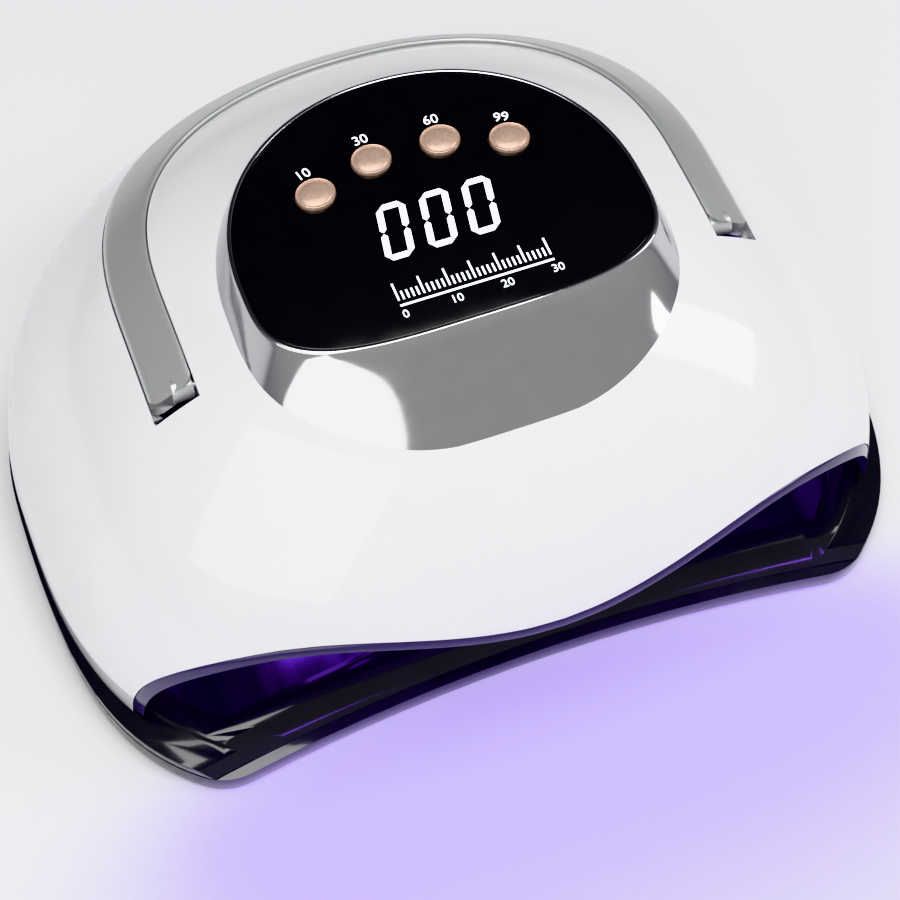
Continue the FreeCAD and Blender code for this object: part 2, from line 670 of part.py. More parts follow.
strip = cut("handle_strip",
            common("handle_layer",
                   form("band_handle", handle_band(0.0, size("handleFront"))),
                   form("handle_crown", shell_dome(-size("handleProud")))),
            form("handle_bed", shell_dome(size("grooveDepth") - size("handleGap"))))
lugs = []
lugHoles = []
for side, sign in SIDES:
    turn = ALONG_X if sign > 0 else ALONG_MINUS_X
    lugs.append(rod(f"{side}_lug", "sizes.hingeLug", "sizes.pinOuterX - sizes.handleInnerX + 1.4",
                    f"{sign} * sizes.handleInnerX", "-sizes.hingeY", "sizes.hingeZ", turn))
    lugHoles.append(rod(f"{side}_lug_hole", "sizes.hingePin + sizes.pinClearance",
                        "sizes.pinOuterX - sizes.handleInnerX + 2.4",
                        f"{sign} * (sizes.handleInnerX - 2)", "-sizes.hingeY", "sizes.hingeZ", turn))
handle = cut("handle_cut", fuse("handle_body", strip, *lugs), group("lug_holes", lugHoles))
node(handle, "carry_handle")
pins = []
for side, sign in SIDES:
    pins.append(rod(f"{side}_pin", "sizes.hingePin", "sizes.pinOuterX - sizes.pinInnerX",
                    f"{sign} * sizes.pinInnerX", "-sizes.hingeY", "sizes.hingeZ",
                    ALONG_X if sign > 0 else ALONG_MINUS_X))
node(group("hinge_pin_pair", pins), "hinge_pins")

# ---- chamber liner with its lights -------------------------------------------------

linerOuter = common("liner_outer", form("liner_tunnel", mouth(size("linerGap"), 200)),
                    form("liner_vault", vault(size("linerWall"))),
                    form("liner_front", shell_dome(0.1, 4.0)))
linerInner = common("liner_inner",
                    form("cavity_tunnel", mouth(size("linerGap") + size("linerWall"), 200, 16.0)),
                    form("cavity_vault", vault(0.0, 16.0)))
linerFoot = box("liner_foot", "400", "400", "40", "0", "0", "sizes.frameTop - 40")


def arch_height(x):
    # underside of the liner's roof, near enough for the light beads
    rise = (x / size("lobeHalf")) ** 2
    top = size("lipHeight") + (size("lobeHeight") - size("lipHeight")) * min(rise, 1.0)
    return top - size("linerGap") - size("linerWall")


def bead(name, turn, x, y, z, length):
    # a light bead: a round stem that ends in a domed lens
    stem = rod(name + "_stem", "sizes.lensRadius", str(length), x, y, z, turn)
    lens = doc.addObject("Part::Sphere", name + "_lens")
    bind(lens, Radius="sizes.lensRadius")
    axis = turn.multVec(Vector(0, 0, 1)) if turn else Vector(0, 0, 1)
    place(lens, f"({x}) + {axis.x * length}", f"({y}) + {axis.y * length}",
          f"({z}) + {axis.z * length}")
    return fuse(name, stem, lens)


DOWN = Rotation(Vector(1, 0, 0), 180)
roofBeads = []
roofHoles = []
for row in range(5):
    for column in range(7):
        across = column - 3
        x = f"{across} * sizes.lensPitchX"
        y = f"sizes.roofBoardY + {row - 2} * sizes.lensPitchY"
        roof = arch_height(across * size("lensPitchX"))
        reach = size("roofBoardZ") - roof - size("roofBeadShort")
        name = f"roof_bead_{row}_{column}"
        roofBeads.append(bead(name, DOWN, x, y, "sizes.roofBoardZ", round(reach, 2)))
        roofHoles.append(rod(name + "_hole", "sizes.lensHole", "30", x, y,
                             "sizes.roofBoardZ - 20"))
node(group("roof_bead_group", roofBeads), "roof_led_lenses")

sideHoles = []
sideBoards = {}
for side, sign in SIDES:
    lean = sign * size("sideLean")
    inward = Rotation(Vector(0, 1, 0), -sign * (90 + size("sideLean")))
    board = box(f"{side}_board_blank", "sizes.boardThick", "sizes.sideBoardLong",
                "sizes.sideBoardTall")
    board.Placement = Placement(Vector(), Rotation(Vector(0, 1, 0), -lean))
    tilt = math.radians(lean)
    up = Vector(-math.sin(tilt), 0, math.cos(tilt))
    half = size("sideBoardTall") / 2
    thick = size("boardThick") if sign < 0 else 0.0
    shift = Vector(-thick * math.cos(tilt), 0, -thick * math.sin(tilt)) - up * half
    place(board, f"{sign} * sizes.sideBoardX + {shift.x}",
          "sizes.sideBoardY - sizes.sideBoardLong / 2",
          f"sizes.sideBoardZ + {shift.z}")
    node(board, f"{side}_led_board")
    beads = []
    for row in range(2):
        for column in range(5):
            along = (row - 0.5) * size("beadRowGap")
            centre = up * along
            x = f"{sign} * sizes.sideBoardX + {centre.x}"
            y = f"sizes.sideBoardY + {column - 2} * sizes.sidePitch"
            z = f"sizes.sideBoardZ + {centre.z}"
            name = f"{side}_bead_{row}_{column}"
            beads.append(bead(name, inward, x, y, z, size("sideBead")))
            sideHoles.append(rod(name + "_hole", "sizes.lensHole", "16", x, y, z, inward))
    node(group(f"{side}_bead_group", beads), f"{side}_led_lenses")

rearBoard = box("rear_board_blank", "sizes.rearBoardWidth", "sizes.boardThick",
                "sizes.rearBoardTall", "0", "sizes.rearBoardY + sizes.boardThick / 2",
                "sizes.sideBoardZ - sizes.rearBoardTall / 2")
node(rearBoard, "rear_led_board")
FORWARD = Rotation(Vector(1, 0, 0), 90)
rearBeads = []
rearHoles = []
for row in range(2):
    for column in range(4):
        x = f"{column - 1.5} * sizes.lensPitchX"
        z = f"sizes.sideBoardZ + {row - 0.5} * sizes.beadRowGap"
        name = f"rear_bead_{row}_{column}"
        length = size("rearBeadOuter" if column in (0, 3) else "rearBead")
        rearBeads.append(bead(name, FORWARD, x, "sizes.rearBoardY", z, length))
        rearHoles.append(rod(name + "_hole", "sizes.lensHole", "20", x, "sizes.rearBoardY", z,
                             FORWARD))
node(group("rear_bead_group", rearBeads), "rear_led_lenses")

sensorHole = box("sensor_hole", "sizes.sensorWidth + 2 * sizes.sensorSlack",
                 "sizes.sensorDepth + 2 * sizes.sensorSlack", "30", "0", "-sizes.sensorY",
                 "sizes.sensorZ - 5")
LINER_POSTS = spots(("sizes.linerPostX", "-sizes.linerPostFront"),
                    ("sizes.linerPostX", "sizes.linerPostRear"))
linerPosts = []
for index, (sign, x, y) in enumerate(LINER_POSTS):
    linerPosts.append(rod(f"liner_post_{index}", "sizes.linerPost", "sizes.linerPostTall",
                          f"{sign} * {x}", y, "sizes.roofBoardZ - sizes.linerPostTall"))
linerWalls = fuse("liner_walls", linerOuter, *linerPosts)
liner = cut("liner_cut", linerWalls, linerInner, linerFoot, sensorHole,
            group("roof_holes", roofHoles), group("side_holes", sideHoles),
            group("rear_holes", rearHoles))
node(liner, "chamber_liner")
sensor = box("sensor_block", "sizes.sensorWidth", "sizes.sensorDepth", "sizes.sensorTall", "0",
             "-sizes.sensorY", "sizes.sensorZ")
eyes = []
for side, sign in SIDES:
    eyes.append(rod(f"{side}_sensor_eye", "sizes.sensorEye", "2", f"{sign} * sizes.sensorEyeX",
                    "-sizes.sensorY", "sizes.sensorZ - sizes.sensorEyeProud"))
node(fuse("sensor_body", sensor, *eyes), "hand_sensor")

roofBoard = box("roof_board_blank", "sizes.roofBoardWidth", "sizes.roofBoardDepth",
                "sizes.boardThick", "0", "sizes.roofBoardY", "sizes.roofBoardZ")
node(roofBoard, "roof_led_board")

# ---- power board -------------------------------------------------------------------

powerBoard = box("power_board_blank", "sizes.powerBoardWidth", "sizes.powerBoardDepth",
                 "sizes.boardThick", "0", "sizes.powerBoardY", "sizes.powerBoardZ")
node(powerBoard, "power_board")
ON_BOARD = "sizes.powerBoardZ + sizes.boardThick"
STANDS = spots(("sizes.standX", "-sizes.standFront"), ("sizes.standX", "sizes.standRear"))
stands = []
tops = []
for index, (sign, x, y) in enumerate(STANDS):
    stands.append(rod(f"stand_{index}", "sizes.standRadius",
                      "sizes.powerBoardZ - sizes.roofBoardZ - sizes.boardThick",
                      f"{sign} * {x}", y, "sizes.roofBoardZ + sizes.boardThick"))
    tops.append(rod(f"board_screw_{index}", "sizes.screwHead", "sizes.screwHeadTall",
                    f"{sign} * {x}", y, ON_BOARD))
node(group("stand_group", stands), "board_standoffs")
node(group("board_screw_group", tops), "board_screws")
cans = []
for index in range(3):
    cans.append(rod(f"can_{index}", "sizes.canRadius", "sizes.canTall",
                    f"{index - 2} * sizes.canPitch", "sizes.canY", ON_BOARD))
node(group("can_group", cans), "capacitors")
coils = []
for index in range(2):
    x = f"{index - 1} * sizes.coilPitch"
    ring = rod(f"coil_ring_{index}", "sizes.coilRadius", "sizes.coilTall", x, "-sizes.coilY",
               ON_BOARD)
    bore = rod(f"coil_bore_{index}", "sizes.coilBore", "2 * sizes.coilTall", x, "-sizes.coilY",
               ON_BOARD)
    coils.append(cut(f"coil_{index}", ring, bore))
node(group("coil_group", coils), "power_coils")
fins = [box("sink_foot", "sizes.sinkWidth", "sizes.sinkDepth", "sizes.sinkFoot", "sizes.sinkX",
            "sizes.powerBoardY", ON_BOARD)]
for index in range(5):
    fins.append(box(f"sink_fin_{index}", "sizes.finThick", "sizes.sinkDepth", "sizes.finTall",
                    f"sizes.sinkX + {index - 2} * sizes.finPitch", "sizes.powerBoardY", ON_BOARD))
node(fuse("sink_body", *fins), "heat_sink")

# ---- inlet ---------------------------------------------------------------------------

INLET_BACK = "sizes.rearBoardY + sizes.boardThick + 0.6"
inletBlock = box("inlet_block", "sizes.inletBlockWidth", "sizes.inletBlockDepth",
                 "sizes.inletBlockTall", "0", f"{INLET_BACK} + sizes.inletBlockDepth / 2",
                 "sizes.inletZ - sizes.inletBlockTall / 2")
inletNose = rod("inlet_nose", "sizes.inletNose",
                f"sizes.overallDepth / 2 - sizes.inletSet - ({INLET_BACK})",
                "0", INLET_BACK, "sizes.inletZ", ALONG_Y)
inletBore = rod("inlet_bore", "sizes.inletBore", "30", "0", f"{INLET_BACK} + 3", "sizes.inletZ",
                ALONG_Y)
inletPin = rod("inlet_pin", "sizes.inletPin", "sizes.inletBlockDepth", "0", f"{INLET_BACK} + 2",
               "sizes.inletZ", ALONG_Y)
inlet = fuse("inlet_body", cut("inlet_case", fuse("inlet_blank", inletBlock, inletNose), inletBore),
             inletPin)
node(inlet, "dc_inlet")

# ---- chrome bezel and panel ------------------------------------------------------------

bezelBlank = form("bezel_blank", Part.makeLoft([bezel_foot(0, size("bezelLow")),
                                                panel_ring(size("bezelRim"), size("bezelTop"))],
                                               True, False))
LEDGE_LOW = size("panelTop") - size("glassThick") - size("ledgeThick")
bezelHollow = form("bezel_hollow", Part.makeLoft([
    bezel_foot(-size("bezelWall"), size("bezelLow") - 1),
    panel_ring(-size("glassLedge"), LEDGE_LOW)], True, False))
glassSeat = form("glass_seat", prism(panel_ring(size("glassGap"), size("panelTop")
                                                - size("glassThick")), 10))
glassLedge = form("glass_ledge", prism(panel_ring(-size("glassLedge"), size("bezelLow")), 30))
domeSeat = form("dome_seat", shell_dome(-size("bezelSeat"), 4.0))
bezelPosts = []
postHoles = []
for index, (sign, x, y) in enumerate(BEZEL_SCREWS):
    bezelPosts.append(rod(f"bezel_post_{index}", "sizes.bezelPost", "8", f"{sign} * ({x})", y,
                          "sizes.bezelLow + 0.5"))
    postHoles.append(rod(f"post_hole_{index}", "sizes.screwRadius - sizes.screwBite",
                         "sizes.bezelScrewLong + 1", f"{sign} * ({x})", y, "sizes.bezelLow"))
bezelRing = cut("bezel_ring", bezelBlank, bezelHollow, glassSeat, glassLedge)
bezelTrim = common("bezel_posts_trim", group("bezel_posts", bezelPosts), bezelBlank)
bezel = cut("bezel_cut", fuse("bezel_body", bezelRing, bezelTrim), domeSeat, *postHoles)
node(bezel, "display_bezel")
bezelScrews = []
for index, (sign, x, y) in enumerate(BEZEL_SCREWS):
    bezelScrews.append(screw(f"bezel_screw_{index}", f"{sign} * ({x})", y, "sizes.bezelLow",
                             "sizes.bezelScrewLong"))
node(group("bezel_screw_group", bezelScrews), "bezel_screws")

KEYS = [("-sizes.keyOuterX", "sizes.keyOuterY", 12), ("-sizes.keyInnerX", "sizes.keyInnerY", 4),
        ("sizes.keyInnerX", "sizes.keyInnerY", -4), ("sizes.keyOuterX", "sizes.keyOuterY", -12)]
GLASS_LOW = "sizes.panelTop - sizes.glassThick"


def oval(name, grow, low, tall, x, y, turn):
    # upright oval pillar
    outline = doc.addObject("Part::Ellipse", name + "_outline")
    bind(outline, MajorRadius=f"sizes.keyLong + {grow}", MinorRadius=f"sizes.keyShort + {grow}")
    outline.Placement = Placement(Vector(), Rotation(Vector(0, 0, 1), turn))
    place(outline, x, y, low)
    pillar = doc.addObject("Part::Extrusion", name)
    pillar.Base = outline
    pillar.DirMode = "Custom"
    pillar.Dir = Vector(0, 0, 1)
    pillar.Solid = True
    bind(pillar, LengthFwd=tall)
    return pillar


keyHoles = []
for index, (x, y, turn) in enumerate(KEYS):
    keyHoles.append(oval(f"key_hole_{index}", "sizes.keyClearance", f"{GLASS_LOW} - 1",
                         "sizes.glassThick + 2", x, y, turn))
glassBlank = form("glass_blank", prism(panel_ring(0.0, size("panelTop") - size("glassThick")),
                                       size("glassThick")))
node(cut("glass_cut", glassBlank, *keyHoles), "display_window")
displayBoard = box("display_board_blank", "sizes.displayBoardWidth", "sizes.displayBoardDepth",
                   "sizes.boardThick", "0", "sizes.displayBoardY", "sizes.displayBoardZ")
node(displayBoard, "display_board")
ON_DISPLAY = "sizes.displayBoardZ + sizes.boardThick"
digits = box("digits_blank", "sizes.digitsWidth", "sizes.digitsDepth", "sizes.digitsTall", "0",
             "sizes.digitsY", ON_DISPLAY)
node(digits, "digit_module")
posts = []
DISPLAY_POSTS = spots(("sizes.displayPostX", "-sizes.displayPostFront"),
                      ("sizes.displayPostX", "sizes.displayPostRear"))
for index, (sign, x, y) in enumerate(DISPLAY_POSTS):
    posts.append(rod(f"display_post_{index}", "sizes.displayPost",
                     f"{GLASS_LOW} - ({ON_DISPLAY})", f"{sign} * {x}", y, ON_DISPLAY))
node(group("display_post_group", posts), "display_posts")

PLUNGER_LOW = f"{ON_DISPLAY} + sizes.switchTall - sizes.keyTravel - 0.5"
PLUNGER_TOP = f"{ON_DISPLAY} + sizes.switchTall + sizes.keyTravel + 0.1"
FLANGE_LOW = f"{GLASS_LOW} - sizes.flangeThick"
switches = []
for index, (x, y, turn) in enumerate(KEYS, 1):
    case = box(f"switch_case_{index}", "sizes.switchSide", "sizes.switchSide", "sizes.switchTall",
               x, y, ON_DISPLAY)
    well = rod(f"switch_well_{index}", "sizes.plungerRadius + 0.1", "9", x, y,
               f"{PLUNGER_LOW} - sizes.keyTravel - 0.2")
    switches.append(cut(f"switch_{index}", case, well))
    plunger = rod(f"plunger_{index}", "sizes.plungerRadius", f"{PLUNGER_TOP} - ({PLUNGER_LOW})",
                  x, y, PLUNGER_LOW)
    node(plunger, f"key_plunger_{index}")
    cap = oval(f"key_cap_{index}", "0", FLANGE_LOW,
               "sizes.flangeThick + sizes.glassThick + sizes.keyProud", x, y, turn)
    flange = oval(f"key_flange_{index}", "sizes.flangeWide", FLANGE_LOW,
                  "sizes.flangeThick - 0.1", x, y, turn)
    stem = rod(f"key_stem_{index}", "sizes.plungerRadius + 0.4",
               f"{FLANGE_LOW} - ({PLUNGER_TOP}) + 0.4", x, y, PLUNGER_TOP)
    body = fuse(f"key_body_{index}", cap, flange, stem)
    node(body, f"timer_key_{index}")
node(group("switch_group", switches), "key_switches")

ribbon = box("ribbon_blank", "sizes.ribbonWidth", "sizes.ribbonThick",
             f"sizes.displayBoardZ - ({ON_BOARD})", "0", "sizes.ribbonY", ON_BOARD)
node(ribbon, "ribbon_cable")

# ---- check and write ----------------------------------------------------------------

doc.recompute()
for piece in doc.Objects:
    if "Invalid" in piece.State or "Error" in piece.State:
        raise RuntimeError(f"{piece.Name} failed: {piece.State}")
os.makedirs("parts", exist_ok=True)
for piece in nodes:
    shape = piece.Shape
    if shape.isNull() or not shape.isValid() or not shape.Solids:
        raise RuntimeError(f"{piece.Label} has no valid solid")
    print(f"{piece.Label:18s} solids {len(shape.Solids):3d} volume {shape.Volume:10.1f}")
    shape.exportStep(f"parts/{piece.Label}.step")
print(len(nodes), "nodes")
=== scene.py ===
import json
import math
import bmesh
import bpy
from mathutils import Matrix, Vector


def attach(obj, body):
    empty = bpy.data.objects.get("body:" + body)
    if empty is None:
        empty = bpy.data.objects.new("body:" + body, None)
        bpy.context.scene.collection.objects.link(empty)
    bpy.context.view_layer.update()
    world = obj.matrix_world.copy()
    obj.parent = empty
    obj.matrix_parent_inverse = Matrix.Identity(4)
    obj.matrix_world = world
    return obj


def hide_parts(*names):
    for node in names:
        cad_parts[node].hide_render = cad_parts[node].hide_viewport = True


# Violet curing lamp for nails: glossy white dome, smoked chrome bezel with a black
# glass panel, silver carry handle, dark hand chamber with light beads.
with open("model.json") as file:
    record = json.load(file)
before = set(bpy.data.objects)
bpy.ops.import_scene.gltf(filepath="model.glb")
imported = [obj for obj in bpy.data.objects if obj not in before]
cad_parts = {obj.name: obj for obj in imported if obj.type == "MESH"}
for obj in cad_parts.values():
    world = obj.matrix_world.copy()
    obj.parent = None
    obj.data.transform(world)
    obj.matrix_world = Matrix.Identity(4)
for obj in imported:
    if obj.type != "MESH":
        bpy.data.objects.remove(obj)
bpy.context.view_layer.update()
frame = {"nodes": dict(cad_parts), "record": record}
mm = 0.001
print("frame loaded with", len(frame["nodes"]), "nodes")


# finishes

def finish(name, light, dark, grain=400.0, rough=(0.2, 0.3), bump=0.0, bumpGrain=900.0,
           stretch=(1.0, 1.0, 1.0), **sockets):
    # two close tones and a roughness, both from noise in the object's own space
    material = bpy.data.materials.new(name)
    material.use_nodes = True
    nodes = material.node_tree.nodes
    link = material.node_tree.links.new
    shader = nodes["Principled BSDF"]
    place = nodes.new("ShaderNodeTexCoord")
    turn = nodes.new("ShaderNodeMapping")
    turn.inputs["Scale"].default_value = stretch
    link(place.outputs["Object"], turn.inputs["Vector"])
    noise = nodes.new("ShaderNodeTexNoise")
    noise.inputs["Scale"].default_value = grain
    noise.inputs["Detail"].default_value = 5.0
    link(turn.outputs["Vector"], noise.inputs["Vector"])
    tones = nodes.new("ShaderNodeValToRGB")
    tones.color_ramp.elements[0].position = 0.3
    tones.color_ramp.elements[1].position = 0.7
    tones.color_ramp.elements[0].color = (*dark, 1)
    tones.color_ramp.elements[1].color = (*light, 1)
    link(noise.outputs["Fac"], tones.inputs["Fac"])
    link(tones.outputs["Color"], shader.inputs["Base Color"])
    spread = nodes.new("ShaderNodeMapRange")
    spread.inputs["From Min"].default_value = 0.3
    spread.inputs["From Max"].default_value = 0.7
    spread.inputs["To Min"].default_value = rough[0]
    spread.inputs["To Max"].default_value = rough[1]
    link(noise.outputs["Fac"], spread.inputs["Value"])
    link(spread.outputs["Result"], shader.inputs["Roughness"])
    if bump:
        ripple = nodes.new("ShaderNodeTexNoise")
        ripple.inputs["Scale"].default_value = bumpGrain
        ripple.inputs["Detail"].default_value = 3.0
        link(turn.outputs["Vector"], ripple.inputs["Vector"])
        relief = nodes.new("ShaderNodeBump")
        relief.inputs["Strength"].default_value = bump
        relief.inputs["Distance"].default_value = 0.0002
        link(ripple.outputs["Fac"], relief.inputs["Height"])
        link(relief.outputs["Normal"], shader.inputs["Normal"])
    for socket, value in sockets.items():
        shader.inputs[socket.replace("_", " ")].default_value = value
    return material


finishes = {
    "white_gloss": finish("whiteGloss", (0.86, 0.86, 0.87), (0.84, 0.84, 0.855), 60.0, (0.07, 0.11),
                          0.02, 140.0, Coat_Weight=0.6, Coat_Roughness=0.03),
    "black_gloss": finish("blackGloss", (0.012, 0.011, 0.018), (0.006, 0.006, 0.010), 90.0,
                          (0.10, 0.18), 0.04, 500.0, Coat_Weight=0.5, Coat_Roughness=0.05),
    "liner_gloss": finish("linerGloss", (0.05, 0.032, 0.13), (0.036, 0.024, 0.10), 70.0,
                          (0.10, 0.17), 0.04, 400.0, Coat_Weight=0.5, Coat_Roughness=0.05),
    "black_matte": finish("blackMatte", (0.03, 0.03, 0.033), (0.016, 0.016, 0.018), 700.0,
                          (0.5, 0.65), 0.3),
    "floor_sheet": finish("floorSheet", (0.30, 0.28, 0.36), (0.24, 0.22, 0.30), 300.0,
                          (0.14, 0.24), 0.05, stretch=(1.0, 0.08, 1.0), Metallic=1.0),
    "rubber": finish("rubber", (0.035, 0.035, 0.035), (0.02, 0.02, 0.02), 900.0, (0.7, 0.85), 0.4),
    "magnet": finish("magnet", (0.62, 0.62, 0.62), (0.50, 0.50, 0.51), 500.0, (0.2, 0.35), 0.1,
                     Metallic=1.0),
    "steel": finish("steel", (0.55, 0.55, 0.56), (0.42, 0.42, 0.44), 800.0, (0.25, 0.4), 0.15,
                    Metallic=1.0),
    "light_board": finish("lightBoard", (0.75, 0.76, 0.78), (0.66, 0.67, 0.70), 350.0,
                          (0.35, 0.5), 0.1),
    "violet_lens": finish("violetLens", (0.35, 0.25, 0.95), (0.25, 0.12, 0.85), 500.0, (0.08, 0.15),
                          0.05, Emission_Color=(0.22, 0.06, 1.0, 1), Emission_Strength=3.0),
    "circuit_green": finish("circuitGreen", (0.02, 0.16, 0.07), (0.01, 0.09, 0.04), 450.0,
                            (0.3, 0.45), 0.2),
    "brass_post": finish("brassPost", (0.75, 0.55, 0.25), (0.6, 0.42, 0.18), 600.0, (0.25, 0.4),
                         0.1, Metallic=1.0),
    "can_metal": finish("canMetal", (0.5, 0.5, 0.54), (0.38, 0.38, 0.42), 600.0, (0.25, 0.4), 0.1,
                        Metallic=1.0),
    "coil_copper": finish("coilCopper", (0.62, 0.28, 0.14), (0.45, 0.18, 0.08), 1200.0,
                          (0.3, 0.45), 0.4, stretch=(1.0, 1.0, 6.0), Metallic=1.0),
    "bezel_chrome": finish("bezelChrome", (0.60, 0.60, 0.61), (0.58, 0.58, 0.59), 160.0,
                           (0.07, 0.10), 0.01, 300.0, Metallic=1.0),
    "panel_black": finish("panelBlack", (0.006, 0.006, 0.007), (0.004, 0.004, 0.005), 120.0,
                          (0.07, 0.11), 0.01, 300.0, Coat_Weight=0.4, Coat_Roughness=0.03),
    "ribbon_grey": finish("ribbonGrey", (0.45, 0.45, 0.46), (0.34, 0.34, 0.35), 300.0,
                          (0.5, 0.6), 0.3, stretch=(8.0, 1.0, 0.2)),
    "handle_silver": finish("handleSilver", (0.62, 0.63, 0.63), (0.58, 0.59, 0.59), 1500.0,
                            (0.28, 0.32), 0.01, 2200.0, Metallic=0.5),
    "rose_gold": finish("roseGold", (0.86, 0.62, 0.50), (0.82, 0.57, 0.45), 900.0, (0.24, 0.32),
                        0.03, Metallic=0.55),
    "display_white": finish("displayWhite", (0.95, 0.96, 1.0), (0.88, 0.90, 0.96), 600.0,
                            (0.4, 0.5), Emission_Color=(0.95, 0.97, 1.0, 1),
                            Emission_Strength=1.6),
}
slotOf = {part["node"]: part["material_slot"] for part in frame["record"]["subparts"]}
for nodeName, node in frame["nodes"].items():
    node.data.materials.clear()
    node.data.materials.append(finishes[slotOf[nodeName]])
print("finishes made:", len(finishes))


# hand tools

def atRest():
    if bpy.context.mode != "OBJECT":
        bpy.ops.object.mode_set(mode="OBJECT")
    bpy.ops.object.select_all(action="DESELECT")


def named(name):
    piece = bpy.context.active_object
    piece.name = name
    piece.data.name = name
    return piece


def only(piece):
    atRest()
    piece.select_set(True)
    bpy.context.view_layer.objects.active = piece


def editing(piece, mode="VERT"):
    only(piece)
    bpy.ops.object.mode_set(mode="EDIT")
    bpy.ops.mesh.select_mode(type=mode)
    bpy.ops.mesh.select_all(action="DESELECT")


def pickEdges(piece, rule):
    # edit mode: selects the edges whose two ends and turn between faces fit the rule
    mesh = bmesh.from_edit_mesh(piece.data)
    for edge in mesh.edges:
        one, two = (vert.co / mm for vert in edge.verts)
        edge.select_set(rule(one, two, edge))
    mesh.select_flush_mode()
    bmesh.update_edit_mesh(piece.data)


def pickFaces(piece, rule):
    mesh = bmesh.from_edit_mesh(piece.data)
    for face in mesh.faces:
        face.select_set(rule(face.calc_center_median() / mm, face.normal))
    mesh.select_flush_mode()
    bmesh.update_edit_mesh(piece.data)


def shaped(piece, rule):
    # moves every point of a primitive to its place on a formed surface
    for vert in piece.data.vertices:
        vert.co = Vector(rule(vert.co)) * mm
    piece.data.update()


def merge(distance=0.01 * mm):
    # edit mode: joins the points that meet
    bpy.ops.mesh.select_all(action="SELECT")
    bpy.ops.mesh.remove_doubles(threshold=distance)


def faceOut():
    bpy.ops.mesh.select_all(action="SELECT")
    bpy.ops.mesh.normals_make_consistent(inside=False)


def grid(name, across, along):
    atRest()
    bpy.ops.mesh.primitive_grid_add(x_subdivisions=across, y_subdivisions=along, size=2)
    return named(name)


def rolled(name, around, rows, rule):
    # a sheet formed by column and row, whose meeting edges are joined
    piece = grid(name, around, rows)
    shaped(piece, lambda co: rule(round((co.x + 1) / 2 * around), round((co.y + 1) / 2 * rows)))
    editing(piece)
    merge()
    faceOut()
    atRest()
    return piece


def modify(piece, kind, **values):
    only(piece)
    modifier = piece.modifiers.new(kind.title(), kind)
    for key, value in values.items():
        setattr(modifier, key, value)
    bpy.ops.object.modifier_apply(modifier=modifier.name)
    return piece


def soften(piece, width, turn=40, segments=3):
    return modify(piece, "BEVEL", width=width * mm, segments=segments, limit_method="ANGLE",
                  angle_limit=math.radians(turn), harden_normals=False)


def takeAway(piece, cutter):
    modify(piece, "BOOLEAN", operation="DIFFERENCE", solver="EXACT", object=cutter)
    bpy.data.objects.remove(cutter)
    return piece


def smooth(piece, turn=35):
    only(piece)
    bpy.ops.object.shade_smooth_by_angle(angle=math.radians(turn))
    return piece


def join(name, pieces):
    atRest()
    for piece in pieces:
        piece.select_set(True)
    bpy.context.view_layer.objects.active = pieces[0]
    bpy.ops.object.join()
    return named(name)


def settle(piece):
    # leaves the object at the origin, unturned and unscaled
    only(piece)
    bpy.ops.object.transform_apply(location=True, rotation=True, scale=True)
    return piece


def done(piece, slot, body, *replaced):
    settle(piece)
    piece.data.materials.clear()
    piece.data.materials.append(finishes[slot])
    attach(piece, body)
    if replaced:
        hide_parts(*replaced)
    print("piece", piece.name, len(piece.data.polygons), "faces")
    return piece


def smoothCopy(node, name, body, bevel):
    # a CAD shape with its loose triangles joined, so that its round faces shade round
    atRest()
    piece = frame["nodes"][node].copy()
    piece.data = piece.data.copy()
    piece.parent = None
    piece.animation_data_clear()
    for key in list(piece.keys()):
        del piece[key]
    bpy.context.scene.collection.objects.link(piece)
    piece.name = name
    piece.data.name = name
    editing(piece)
    merge(0.002 * mm)
    bpy.ops.mesh.dissolve_limited(angle_limit=math.radians(0.3))
    atRest()
    if bevel:
        soften(piece, bevel, 50, 2)
    smooth(piece)
    return done(piece, slotOf[node], body, node)


# the dome's form

dome = {
    "half": 119.2, "front": 107.67, "rear": 99.2,     # reach of the plan at the seam
    "frontFull": 2.9, "rearFull": 2.11,               # squareness of the plan
    "seam": 10.0, "apex": 103.3, "curve": 2.14,       # side profile
    "wall": 2.4,
}
halvings = 40                                         # of a search for an edge
mouthSide = [(10, 107.5), (15, 107.18), (20, 106.32), (25, 104.83), (30, 102.58), (35, 99.39),
             (40, 95.0), (44.29, 90.0)]               # height, half width
mouthTop = [(0, 48.0), (10, 48.6), (20, 50.08), (30, 51.97), (40, 53.78), (50, 55.03),
            (60, 55.21), (69, 54.0), (75, 52.28), (80, 50.25), (85, 47.63), (90, 44.29),
            (95, 40.0), (99.39, 35.0)]                # half width, height
mouthTurn = {"level": 40, "widest": 96}               # where the side table hands over to the top


def reach(turn, half, front, rear, frontFull, rearFull):
    # distance from the middle to a rounded outline in one direction
    deep, full = (rear, rearFull) if math.sin(turn) > 0 else (front, frontFull)
    return ((abs(math.cos(turn)) / half) ** full
            + (abs(math.sin(turn)) / deep) ** full) ** (-1 / full)


def domeReach(turn, inset):
    return reach(turn, dome["half"] - inset, dome["front"] - inset, dome["rear"] - inset,
                 dome["frontFull"], dome["rearFull"])


def domeShare(level, inset):
    rise = (level - dome["seam"]) / (dome["apex"] - inset - dome["seam"])
    return (1 - max(rise, 0.0) ** dome["curve"]) ** (1 / dome["curve"])


def domePoint(turn, level, inset):
    span = domeReach(turn, inset) * domeShare(level, inset)
    return Vector((span * math.cos(turn), span * math.sin(turn), level))


def domeHeight(x, y, inset):
    share = min(math.hypot(x, y) / domeReach(math.atan2(y, x), inset), 1.0)
    tall = dome["apex"] - inset - dome["seam"]
    return dome["seam"] + tall * (1 - share ** dome["curve"]) ** (1 / dome["curve"])


